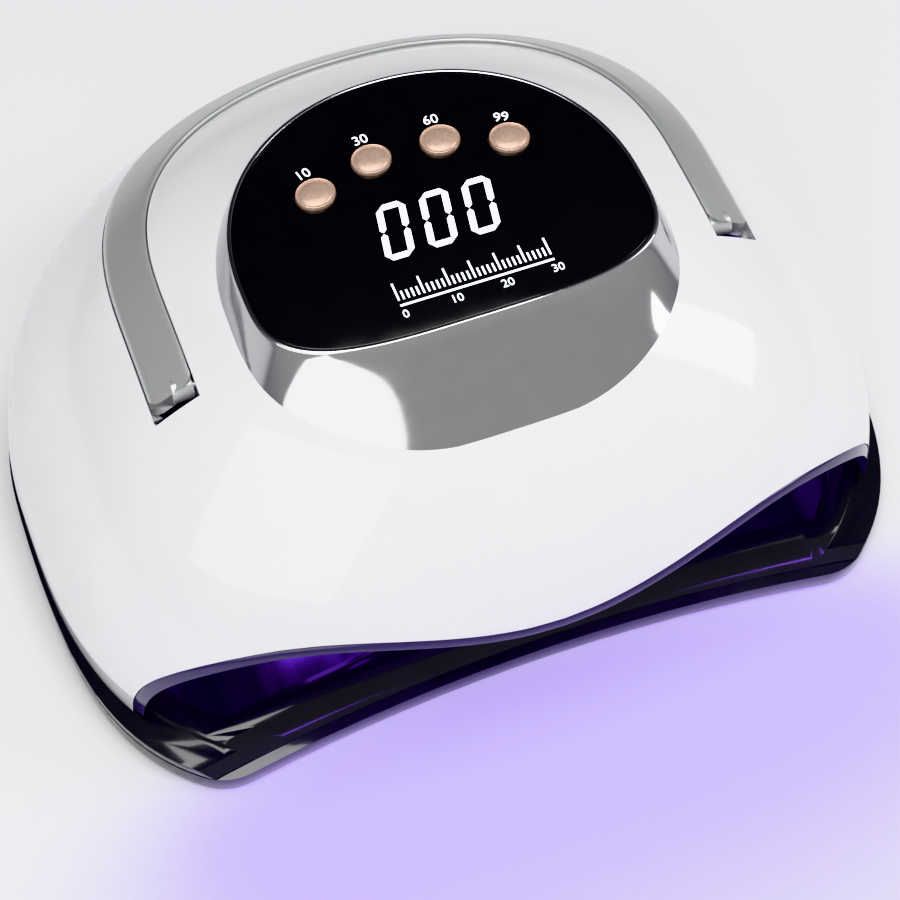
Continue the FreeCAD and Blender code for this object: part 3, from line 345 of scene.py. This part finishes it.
def readCurve(table, value):
    # smooth reading between the points of a table
    count = len(table)
    index = max(i for i in range(count - 1) if table[i][0] <= value or i == 0)
    (x1, y1), (x2, y2) = table[index], table[index + 1]
    x0, y0 = table[index - 1] if index else (2 * x1 - x2, 2 * y1 - y2)
    x3, y3 = table[index + 2] if index + 2 < count else (2 * x2 - x1, 2 * y2 - y1)
    wide = x2 - x1
    share = (value - x1) / wide
    slope1 = (y2 - y0) / (x2 - x0) * wide
    slope2 = (y3 - y1) / (x3 - x1) * wide
    cube, square = share ** 3, share ** 2
    return ((2 * cube - 3 * square + 1) * y1 + (cube - 2 * square + share) * slope1
            + (3 * square - 2 * cube) * y2 + (cube - square) * slope2)


def inMouth(x, z):
    x = abs(x)
    if z <= mouthTurn["level"]:
        return x < readCurve(mouthSide, max(z, dome["seam"]))
    return x < mouthTurn["widest"] and z < readCurve(mouthTop, x)


def lowerEdge(turn, inset):
    # where a line up the dome starts: at the seam, or at the mouth's edge
    low, high = dome["seam"], 60.0
    if math.sin(turn) > 0 or not inMouth(domePoint(turn, low, inset).x, low):
        return low
    for step in range(halvings):
        middle = (low + high) / 2
        if inMouth(domePoint(turn, middle, inset).x, middle):
            low = middle
        else:
            high = middle
    return low


panel = {
    "centre": -13.0, "half": 52.5, "front": 28.0, "rear": 51.0,
    "frontFull": 3.6, "rearFull": 2.1,
    "top": 102.6, "thick": 2.0, "around": 192,
}
bezel = {
    "footHalf": 60.0, "footFront": 50.5, "footRear": 55.5, "footFull": 3.0,
    "low": 88.0, "top": 103.0, "rim": 1.4, "around": 256,
}


def panelRing(turn, grow):
    span = reach(turn, panel["half"] + grow, panel["front"] + grow, panel["rear"] + grow,
                 panel["frontFull"], panel["rearFull"])
    return Vector((span * math.cos(turn), panel["centre"] + span * math.sin(turn)))


def bezelFoot(turn, grow):
    span = reach(turn, bezel["footHalf"] + grow, bezel["footFront"] + grow,
                 bezel["footRear"] + grow, bezel["footFull"], panel["rearFull"])
    return Vector((span * math.cos(turn), panel["centre"] + span * math.sin(turn)))


def openingLevel(turn, inset):
    # height at which a line up the dome meets the opening under the panel
    low, high = 85.0, dome["apex"] - inset - 0.01
    for step in range(halvings):
        middle = (low + high) / 2
        point = domePoint(turn, middle, inset)
        ahead = Vector((point.x, point.y - panel["centre"]))
        edge = panelRing(math.atan2(ahead.y, ahead.x), -6.0)
        if ahead.length > (edge - Vector((0, panel["centre"]))).length:
            low = middle
        else:
            high = middle
    return low


# white shell

shell = {"around": 440, "outer": 46, "inner": 12}
# the rounded lower edge: inset from the outer face, and lift over the mouth's edge
lipRows = [(0.5, 0.0), (0.2, 0.08), (0.06, 0.2)]
lipLift = 0.5


def cornerTurn():
    low, high = math.radians(-40), math.radians(-20)
    for step in range(halvings):
        middle = (low + high) / 2
        if inMouth(domePoint(middle, dome["seam"], 0).x, dome["seam"]):
            low = middle
        else:
            high = middle
    return math.degrees(low)


# share of the way round, and the direction there: most lines stand at the mouth's corners
turnStops = [(0.0, -90.0), (0.28, -44.0), (0.50, cornerTurn()), (1.0, 90.0)]


def turnAt(share):
    # the way round from the front middle over the right side to the back and home again
    mirrored = share > 0.5
    way = 2 * (1 - share) if mirrored else 2 * share
    for (w1, t1), (w2, t2) in zip(turnStops, turnStops[1:]):
        if way <= w2 + 1e-9:
            turn = t1 + (t2 - t1) * (way - w1) / (w2 - w1)
            break
    return math.radians(180 - turn if mirrored else turn)


def span(turn, inset, lift):
    # angles up the side profile at which a line over the dome starts and ends
    tall = dome["apex"] - inset - dome["seam"]
    levels = (lowerEdge(turn, inset) + lift, openingLevel(turn, inset))
    return [math.asin(((level - dome["seam"]) / tall) ** (dome["curve"] / 2))
            for level in levels]


spans = {}


def shellPoint(column, row):
    # rows: the rounded lip, the outer face up to the opening, then the inner face down
    turn = turnAt((column % shell["around"]) / shell["around"])
    row %= len(lipRows) + shell["outer"] + shell["inner"] + 2
    if row < len(lipRows):
        inset, lift = lipRows[row]
        return domePoint(turn, lowerEdge(turn, inset) + lift, inset)
    row -= len(lipRows)
    outer = row <= shell["outer"]
    inset, lift = (0.0, lipLift) if outer else (dome["wall"], 0.0)
    share = row / shell["outer"] if outer else 1 - (row - shell["outer"] - 1) / shell["inner"]
    key = (turn, inset)
    if key not in spans:
        spans[key] = span(turn, inset, lift)
    first, last = spans[key]
    tall = dome["apex"] - inset - dome["seam"]
    level = dome["seam"] + tall * math.sin(first + (last - first) * share) ** (2 / dome["curve"])
    return domePoint(turn, level, inset)


shellRows = len(lipRows) + shell["outer"] + shell["inner"] + 2
shellSkin = rolled("shellSkin", shell["around"], shellRows, shellPoint)
print("dome formed")


# carry handle and its groove

handle = {
    "innerX": 70.5, "innerY": 66.0, "outerX": 82.0, "outerY": 78.0, "full": 2.5,
    "front": 25.2, "proud": 1.3, "deep": 2.9, "gap": 0.4, "grooveDeep": 3.3,
    "bend": 120, "arm": 12,
    "hinge": (-23.0, 83.0), "lug": 3.2, "pocket": 7.4, "notch": 5.8,
    "pocketX": 76.25, "pocketLong": 12.3, "notchTall": 14, "lugX": 73.4, "lugLong": 5.6,
    "endRound": 3.2,
}


def power(value, exponent):
    return math.copysign(abs(value) ** exponent, value)


def bandPoint(column, across, grow, endRound):
    # along the band from the left end to the right end; across 0 is inside, 1 outside
    away = grow * (2 * across - 1)
    halfX = handle["innerX"] + (handle["outerX"] - handle["innerX"]) * across + away
    halfY = handle["innerY"] + (handle["outerY"] - handle["innerY"]) * across + away
    arm, bend = handle["arm"], handle["bend"]
    if arm < column < arm + bend:
        turn = math.pi * (1 - (column - arm) / bend)
        full = 2 / handle["full"]
        return halfX * power(math.cos(turn), full), halfY * power(math.sin(turn), full)
    side = -1 if column <= arm else 1
    step = column if side < 0 else 2 * arm + bend - column
    wide = handle["outerX"] - handle["innerX"]
    corner = max(abs(2 * across - 1) * wide / 2 - wide / 2 + endRound, 0.0)
    short = endRound - math.sqrt(max(endRound ** 2 - corner ** 2, 0.0))
    return side * halfX, -(handle["front"] + min(grow, 0.0) - short) * (1 - step / arm)


def band(name, section, grow=0.0, endRound=0.0):
    # sweeps a closed section along the band: each corner is (across, inset from the dome)
    columns = handle["bend"] + 2 * handle["arm"]
    piece = grid(name, columns, len(section))

    def formed(co):
        column = round((co.x + 1) / 2 * columns)
        across, inset = section[round((co.y + 1) / 2 * len(section)) % len(section)]
        x, y = bandPoint(column, across, grow, endRound)
        return x, y, 125.0 if inset is None else domeHeight(x, y, inset)

    shaped(piece, formed)
    editing(piece, "EDGE")
    merge()
    for end in (-1, 1):
        bpy.ops.mesh.select_all(action="DESELECT")
        pickEdges(piece, lambda one, two, edge: edge.is_boundary and one.x * end > 0)
        bpy.ops.mesh.edge_face_add()
    faceOut()
    atRest()
    return piece


def there(shares, inset):
    return [(share, inset) for share in shares]


deepest = handle["grooveDeep"]
across = (0.0, 0.2, 0.4, 0.6, 0.8, 1.0)
cutter = band("grooveCutter", [(0.0, None)] + there(across, deepest) + [(1.0, None)],
              handle["gap"])
takeAway(shellSkin, cutter)


def pin(name, radius, length, centre, turn=(0, 0, 0), sides=48):
    # an upright round bar, turned about its middle
    atRest()
    bpy.ops.mesh.primitive_cylinder_add(vertices=sides, radius=radius * mm, depth=length * mm,
                                        location=Vector(centre) * mm, rotation=turn)
    return named(name)


alongX = (0, math.radians(90), 0)
alongY = (math.radians(90), 0, 0)
inlet = {"y": 98, "z": 24.0, "nose": 4.6, "slack": 0.25, "long": 20}


def hingePocket(side):
    # the round room that a hinge lug turns in, cut off flat in front
    pocket = pin("pocket", handle["pocket"], handle["pocketLong"],
                 (side * handle["pocketX"], *handle["hinge"]), alongX)
    editing(pocket)
    bpy.ops.mesh.select_all(action="SELECT")
    bpy.ops.mesh.bisect(plane_co=(0, (handle["hinge"][0] - handle["notch"]) * mm, 0),
                        plane_no=(0, -1, 0), use_fill=True, clear_outer=True)
    atRest()
    return pocket


def hingeNotch(side):
    # the notch over the pocket, in front of the handle's end
    atRest()
    y, z = handle["hinge"]
    bpy.ops.mesh.primitive_cube_add(size=mm, location=Vector((
        side * handle["pocketX"], y - handle["notch"] / 2, z + handle["notchTall"] / 2)) * mm)
    notch = named("notch")
    notch.scale = (handle["pocketLong"], handle["notch"], handle["notchTall"])
    return settle(notch)


for side in (-1, 1):
    takeAway(shellSkin, hingePocket(side))
    takeAway(shellSkin, hingeNotch(side))
takeAway(shellSkin, pin("inletHole", inlet["nose"] + inlet["slack"], inlet["long"],
                        (0, inlet["y"], inlet["z"]), alongY))
smooth(shellSkin, 40)
print("groove cut")

# the channel under the slot in the shell, and the pockets that the hinge lugs turn in
under, wall = dome["wall"] + 0.05, 1.1
margin = wall / (handle["outerX"] - handle["innerX"] + 2 * handle["gap"])
channel = band("grooveChannel",
               [(-margin, under)] + there((-margin, 0.25, 0.5, 0.75, 1 + margin), deepest + wall)
               + [(1 + margin, under), (1.0, under)] + there((1.0, 0.75, 0.5, 0.25, 0.0), deepest)
               + [(0.0, under)], handle["gap"])
for side in (-1, 1):
    takeAway(channel, hingePocket(side))
smooth(channel, 40)
whiteShell = join("whiteShell", [shellSkin, channel])
done(whiteShell, "white_gloss", "housing", "upper_shell")

rounding = ((0.0, -0.35), (0.012, -0.80), (0.035, -1.10), (0.07, -1.26))
topSide = list(rounding)
topSide += there((0.12, 0.18, 0.26, 0.5, 0.74, 0.82, 0.88), -handle["proud"])
topSide += [(1 - share, inset) for share, inset in reversed(rounding)]
underside = there((1.0, 0.965, 0.88, 0.74, 0.5, 0.26, 0.12, 0.035, 0.0), handle["deep"])
carryHandle = band("carryStrip", topSide + underside, 0.0, handle["endRound"])
for side in (-1, 1):
    lug = pin("hingeLug", handle["lug"], handle["lugLong"],
              (side * handle["lugX"], *handle["hinge"]), alongX)
    soften(lug, 0.3)
    carryHandle = join("carryStrip", [carryHandle, lug])
smooth(carryHandle, 35)
done(carryHandle, "handle_silver", "carry_handle", "carry_handle")


# smoked chrome bezel

slope = 10
bezelRows = ([("slope", step / slope) for step in range(slope + 1)]
             + [("top", -0.12, 102.72), ("top", -0.35, 102.94), ("top", -0.75, 103.0),
                ("top", -1.05, 102.97), ("top", -1.22, 102.85), ("top", -1.22, 100.6),
                ("under", -2.8, 0.0)])
feet = {}


def footOnDome(turn):
    # where the bezel's straight slope comes out of the dome, as a share of the slope
    if turn not in feet:
        foot, top = bezelFoot(turn, 0.0), panelRing(turn, bezel["rim"])
        low, high = -0.1, 0.95
        for step in range(30):
            middle = (low + high) / 2
            flat = foot.lerp(top, middle)
            level = bezel["low"] + (bezel["top"] - 0.5 - bezel["low"]) * middle
            if level < domeHeight(flat.x, flat.y, -0.04):
                low = middle
            else:
                high = middle
        feet[turn] = low
    return feet[turn]


def bezelPoint(column, row):
    turn = 2 * math.pi * (column % bezel["around"]) / bezel["around"]
    kind, *values = bezelRows[row % len(bezelRows)]
    if kind == "slope":
        first = footOnDome(turn)
        share = first + (1 - first) * values[0]
        flat = bezelFoot(turn, 0.0).lerp(panelRing(turn, bezel["rim"]), share)
        return flat.x, flat.y, bezel["low"] + (bezel["top"] - 0.5 - bezel["low"]) * share
    flat = panelRing(turn, bezel["rim"] + values[0])
    if kind == "under":
        return flat.x, flat.y, domeHeight(flat.x, flat.y, -0.04)
    return flat.x, flat.y, values[1]


chromeBezel = rolled("chromeBezel", bezel["around"], len(bezelRows), bezelPoint)
smooth(chromeBezel, 50)
done(chromeBezel, "bezel_chrome", "housing", "display_bezel")


# black glass panel, its keys and its signs

keys = {
    "places": [(-26.4, 8.0, 12), (-9.4, 13.6, 4), (9.4, 13.6, -4), (26.4, 8.0, -12)],
    "long": 5.25, "short": 4.7, "top": 104.1, "low": 99.7, "clear": 0.25, "labels": (10, 30, 60, 99),
    "flange": 0.9, "flangeThick": 0.8, "stem": 2.1, "stemLong": 2.2, "stemMiddle": 98.8,
}


def ovalColumn(name, grow, low, high, x, y, turn):
    atRest()
    bpy.ops.mesh.primitive_cylinder_add(vertices=64, radius=mm, depth=(high - low) * mm,
                                        location=(x * mm, y * mm, (low + high) / 2 * mm),
                                        rotation=(0, 0, math.radians(turn)))
    piece = named(name)
    piece.scale = (keys["long"] + grow, keys["short"] + grow, 1)
    return settle(piece)


atRest()
bpy.ops.mesh.primitive_circle_add(vertices=panel["around"], radius=mm, fill_type="NGON")
glass = named("panelGlass")
shaped(glass, lambda co: (*panelRing(math.atan2(co.y, co.x), 0.0), panel["top"]))
modify(glass, "SOLIDIFY", thickness=panel["thick"] * mm, offset=-1)
soften(glass, 0.35, 50)
for x, y, turn in keys["places"]:
    takeAway(glass, ovalColumn("keyHole", keys["clear"], 100.0, 104.0, x, y, turn))
smooth(glass, 40)
done(glass, "panel_black", "housing", "display_window")

for index, (x, y, turn) in enumerate(keys["places"], 1):
    cap = ovalColumn("keyCap", 0.0, keys["low"], keys["top"] - 0.35, x, y, turn)
    editing(cap, "FACE")
    pickFaces(cap, lambda middle, normal: normal.z > 0.9)
    for inset, lift in ((0.25, 0.0), (0.12, -0.22), (0.35, -0.02), (0.3, 0.2), (0.6, 0.16),
                        (1.0, 0.13), (1.3, 0.08)):
        bpy.ops.mesh.inset(thickness=inset * mm, depth=lift * mm)
    atRest()
    soften(cap, 0.1, 60, 2)
    flange = ovalColumn("keyFlange", keys["flange"], keys["low"],
                        keys["low"] + keys["flangeThick"], x, y, turn)
    stem = pin("keyStem", keys["stem"], keys["stemLong"], (x, y, keys["stemMiddle"]), sides=32)
    cap = join("timerKey" + str(index), [cap, flange, stem])
    smooth(cap, 30)
    done(cap, "rose_gold", "timer_key_" + str(index), "timer_key_" + str(index))

digits = {
    "left": -16.9, "low": -18.2, "pitch": 11.5, "wide": 7.8, "tall": 17.4, "slant": 0.185,
    "stroke": 1.75, "space": 0.35, "level": 102.62, "thick": 0.08,
}


def bar(x, y, length, upright):
    # one pointed bar of a digit
    half = digits["stroke"] / 2
    atRest()
    bpy.ops.mesh.primitive_circle_add(vertices=6, radius=1, fill_type="NGON")
    piece = named("bar")
    outline = ((length / 2, 0), (length / 2 - half, half), (half - length / 2, half),
               (-length / 2, 0), (half - length / 2, -half), (length / 2 - half, -half))
    for vert, (along, over) in zip(piece.data.vertices, outline):
        dx, dy = (over, along) if upright else (along, over)
        height = y + dy
        vert.co = Vector((x + dx + digits["slant"] * (height - digits["low"]), height,
                          digits["level"])) * mm
    modify(piece, "SOLIDIFY", thickness=digits["thick"] * mm, offset=0)
    return piece


bars = []
inner = digits["stroke"] / 2
for place in range(3):
    left = digits["left"] + place * digits["pitch"] + inner
    right = left + digits["wide"] - 2 * inner
    low, high = digits["low"] + inner, digits["low"] + digits["tall"] - inner
    middle = (low + high) / 2
    long = (high - low) / 2 - digits["space"]
    for x in (left, right):
        bars.append(bar(x, (low + middle) / 2, long, True))
        bars.append(bar(x, (middle + high) / 2, long, True))
    for y in (low, high):
        bars.append(bar((left + right) / 2, y, right - left - digits["space"], False))
timerDigits = join("timerDigits", bars)
editing(timerDigits)
faceOut()
done(timerDigits, "display_white", "housing")


def number(text, tall, x, y, turn):
    # a plain number, made a mesh
    atRest()
    bpy.ops.object.text_add(location=(x * mm, y * mm, digits["level"] * mm),
                            rotation=(0, 0, math.radians(turn)))
    sign = bpy.context.active_object
    sign.data.body = text
    sign.data.size = tall * mm
    sign.data.align_x = "CENTER"
    sign.data.align_y = "CENTER"
    sign.data.extrude = 0.00004
    sign.data.resolution_u = 3
    bpy.ops.object.convert(target="MESH")
    return named("number")


labels = [number(str(value), 4.2, x + 0.03 * x, y + 7.6, turn)
          for value, (x, y, turn) in zip(keys["labels"], keys["places"])]


def rule(x, y, wide, tall):
    atRest()
    bpy.ops.mesh.primitive_cube_add(size=mm, location=(x * mm, y * mm, digits["level"] * mm))
    piece = named("rule")
    piece.scale = (wide, tall, digits["thick"])
    return settle(piece)


scale = {"first": -18.0, "ticks": 31, "pitch": 1.34, "low": -30.2, "short": 2.6, "long": 5.4}
ticks = [rule(scale["first"] + index * scale["pitch"], scale["low"]
              + (scale["long"] if index % 5 == 0 else scale["short"]) / 2, 0.5,
              scale["long"] if index % 5 == 0 else scale["short"])
         for index in range(scale["ticks"])]
ticks.append(rule(scale["first"] + (scale["ticks"] - 1) / 2 * scale["pitch"], scale["low"] - 1.6,
                  (scale["ticks"] - 1) * scale["pitch"] + 0.5, 0.6))
for index, value in enumerate((0, 10, 20, 30)):
    ticks.append(number(str(value), 3.4, scale["first"] + index * 10 * scale["pitch"] + 0.2, -34.6, 0))
panelSigns = join("panelSigns", labels + ticks)
done(panelSigns, "display_white", "housing")


# hand chamber

chamber = {
    "gap": 0.2, "wall": 2.0, "half": 112.0, "rear": 78.0, "apex": 80.0, "curve": 3.5,
    "foot": 12.5, "hole": 3.1,
}


def arch():
    # the mouth's outline from the right foot over the top to the left foot, with its normals
    side = [chamber["foot"] + (40 - chamber["foot"]) * step / 20 for step in range(20)]
    points = [(readCurve(mouthSide, z), z) for z in side]
    points += [(95 - 95 * step / 56, readCurve(mouthTop, 95 - 95 * step / 56))
               for step in range(57)]
    points += [(-x, z) for x, z in reversed(points[:-1])]
    made = []
    for index, point in enumerate(points):
        before = Vector(points[max(index - 1, 0)])
        after = Vector(points[min(index + 1, len(points) - 1)])
        ahead = (after - before).normalized()
        made.append((Vector(point), Vector((ahead.y, -ahead.x))))
    return made


archLine = arch()


def backOf(x, z, grow):
    # where the chamber's curved back stands for a place across and up
    tall = chamber["apex"] + grow - dome["seam"]
    share = (1 - ((z - dome["seam"]) / tall) ** chamber["curve"]) ** (1 / chamber["curve"])
    side = (abs(x) / (chamber["half"] + grow)) ** dome["rearFull"]
    return (chamber["rear"] + grow) * (share ** dome["rearFull"] - side) ** (1 / dome["rearFull"])


def frontOf(x, z, inset):
    side = (abs(x) / (dome["half"] - inset)) ** dome["frontFull"]
    deep = domeShare(z, inset) ** dome["frontFull"] - side
    return -(dome["front"] - inset) * max(deep, 0.0) ** (1 / dome["frontFull"])


nearWall, farWall = chamber["gap"], chamber["gap"] + chamber["wall"]
linerRows = [("back", step / 8, nearWall, 2.0) for step in range(9)]
linerRows += [("side", step / 4, nearWall, 2.0) for step in range(1, 4)]
linerRows += [("front", 0.45, nearWall, 0.0), ("front", 0.12, nearWall + 0.12, 0.0),
              ("front", 0.0, nearWall + 0.45, 0.0), ("front", 0.0, farWall - 0.45, 0.0),
              ("front", 0.12, farWall - 0.12, 0.0), ("front", 0.45, farWall, 0.0)]
linerRows += [("side", 1 - step / 12, farWall, 0.0) for step in range(1, 12)]
linerRows += [("back", 1 - step / 26, farWall, 0.0) for step in range(27)]


def linerPoint(column, row):
    kind, share, offset, grow = linerRows[row]
    point, normal = archLine[column]
    x, z = point - normal * offset
    z = max(z, chamber["foot"])
    if column in (0, len(archLine) - 1):
        z = chamber["foot"]
    if kind == "back":
        x, z = x * share, chamber["foot"] + (z - chamber["foot"]) * share
        return x, backOf(x, z, grow), z
    near = frontOf(x, z, 0.1)
    if kind == "front":
        return x, near + share, z
    return x, near + 0.45 + (backOf(x, z, grow) - near - 0.45) * share, z


atRest()
liner = grid("handChamber", len(archLine) - 1, len(linerRows) - 1)
shaped(liner, lambda co: linerPoint(round((co.x + 1) / 2 * (len(archLine) - 1)),
                                    round((co.y + 1) / 2 * (len(linerRows) - 1))))
editing(liner, "EDGE")
merge()
bpy.ops.mesh.select_all(action="DESELECT")
pickEdges(liner, lambda one, two, edge: edge.is_boundary)
bpy.ops.mesh.fill()
faceOut()
atRest()

beads = {
    "pitch": (20.0, 19.0), "centreY": -14.0, "roof": 56.5, "sidePitch": 15.0, "sideX": 106.2,
    "sideY": -10.0, "z": 28.5, "lean": 22.0, "rowGap": 10.0, "rearY": 82.5,
    "roofLong": 40, "sideLong": 16, "rearLong": 20,       # lengths of the holes' cutters
}
sensor = {"at": (0, -74, 55), "room": (16.4, 8.4, 30)}
holes = []
for row in range(5):
    for column in range(7):
        holes.append(pin("hole", chamber["hole"], beads["roofLong"], ((column - 3) * beads["pitch"][0],
                         beads["centreY"] + (row - 2) * beads["pitch"][1], beads["roof"]),
                         sides=24))
for side in (-1, 1):
    lean = math.radians(side * beads["lean"])
    for row in (-0.5, 0.5):
        for column in range(-2, 3):
            up = row * beads["rowGap"]
            away = -8.0 * side
            holes.append(pin("hole", chamber["hole"], beads["sideLong"], (
                side * beads["sideX"] - math.sin(lean) * up + away * math.cos(lean),
                beads["sideY"] + column * beads["sidePitch"],
                beads["z"] + math.cos(lean) * up + away * math.sin(lean)),
                (0, math.radians(90) + lean, 0), sides=24))
for row in (-0.5, 0.5):
    for column in (-1.5, -0.5, 0.5, 1.5):
        holes.append(pin("hole", chamber["hole"], beads["rearLong"], (
            column * beads["pitch"][0], beads["rearY"] - 10, beads["z"] + row * beads["rowGap"]),
            alongY, sides=24))
atRest()
bpy.ops.mesh.primitive_cube_add(size=mm, location=Vector(sensor["at"]) * mm)
sensorHole = named("sensorHole")
sensorHole.scale = sensor["room"]
settle(sensorHole)
takeAway(liner, join("chamberHoles", holes + [sensorHole]))
smooth(liner, 35)
done(liner, "liner_gloss", "housing", "chamber_liner")


# the remaining CAD shapes, with their faces joined

for node, name, body, bevel in (
        ("base_plate", "floorPlate", "base", 0.4),
        ("lower_frame", "lowerRing", "housing", 0.4),
        ("rubber_feet", "rubberFeet", "base", 0.4),
        ("dc_inlet", "powerInlet", "housing", 0.2),
        ("roof_led_lenses", "roofLenses", "housing", 0.0),
        ("left_led_lenses", "leftLenses", "housing", 0.0),
        ("right_led_lenses", "rightLenses", "housing", 0.0),
        ("rear_led_lenses", "rearLenses", "housing", 0.0),
        ("case_screws", "caseScrews", "housing", 0.0)):
    smoothCopy(node, name, body, bevel)


# floor, light and camera

atRest()
bpy.ops.mesh.primitive_plane_add(size=6.0, location=(0, 0, 0))
table = named("table")
table.data.materials.append(finish("paleTable", (0.90, 0.90, 0.91), (0.885, 0.885, 0.90), 3.0,
                                   (0.55, 0.65)))

bpy.context.scene.view_settings.view_transform = "Khronos PBR Neutral"
world = bpy.data.worlds.new("studio")
world.use_nodes = True
bpy.context.scene.world = world
sky = world.node_tree.nodes
ahead = sky.new("ShaderNodeTexCoord")
apart = sky.new("ShaderNodeSeparateXYZ")
world.node_tree.links.new(ahead.outputs["Generated"], apart.inputs["Vector"])
tones = sky.new("ShaderNodeValToRGB")          # from the front of the room to its back
tones.color_ramp.elements[0].position = 0.0
tones.color_ramp.elements[0].color = (1.0, 1.0, 1.0, 1)
tones.color_ramp.elements[1].position = 1.0
tones.color_ramp.elements[1].color = (0.12, 0.12, 0.13, 1)
middle = tones.color_ramp.elements.new(0.45)
middle.color = (0.75, 0.75, 0.77, 1)
shift = sky.new("ShaderNodeMapRange")
shift.inputs["From Min"].default_value = -1.0
shift.inputs["From Max"].default_value = 0.6
world.node_tree.links.new(apart.outputs["Y"], shift.inputs["Value"])
world.node_tree.links.new(shift.outputs["Result"], tones.inputs["Fac"])
world.node_tree.links.new(tones.outputs["Color"], sky["Background"].inputs["Color"])
sky["Background"].inputs["Strength"].default_value = 0.55


def lamp(name, place, aim, width, depth, energy, colour=(1, 1, 1)):
    light = bpy.data.lights.new(name, "AREA")
    light.shape = "RECTANGLE"
    light.size = width * mm
    light.size_y = depth * mm
    light.energy = energy
    light.color = colour
    holder = bpy.data.objects.new(name, light)
    bpy.context.scene.collection.objects.link(holder)
    place, aim = Vector(place) * mm, Vector(aim) * mm
    holder.matrix_world = (Matrix.Translation(place)
                           @ (aim - place).to_track_quat("-Z", "Y").to_matrix().to_4x4())
    return light


violet = (0.32, 0.12, 1.0)
lamp("keySoftbox", (-560, -500, 720), (0, 0, 60), 1000, 820, 4.2)
lamp("fillSoftbox", (700, -200, 600), (0, 0, 60), 300, 500, 2.5)
lamp("topSoftbox", (0, 0, 1300), (0, 0, 0), 700, 700, 8)
lamp("chamberGlow", (0, -20, 44), (0, -40, 0), 120, 70, 0.12, violet)
lamp("mouthGlow", (0, -108, 30), (0, -190, -60), 190, 12, 0.15, violet)

viewFrom = Vector((-123.6, -327.1, 535.3)) * mm
right = Vector((0.9354, -0.3535, 0.0))
up = Vector((0.2960, 0.7831, 0.5469))
camera = bpy.data.cameras.new("viewer")
camera.lens = 87.36
camera.sensor_width = 36.0
camera.shift_x = 0.0284
camera.shift_y = -0.0429
camera.clip_start = 0.01
eye = bpy.data.objects.new("viewer", camera)
bpy.context.scene.collection.objects.link(eye)
turned = Matrix((right, up, right.cross(up))).transposed()
eye.matrix_world = Matrix.Translation(viewFrom) @ turned.to_4x4()
bpy.context.scene.camera = eye

print("scene ready")
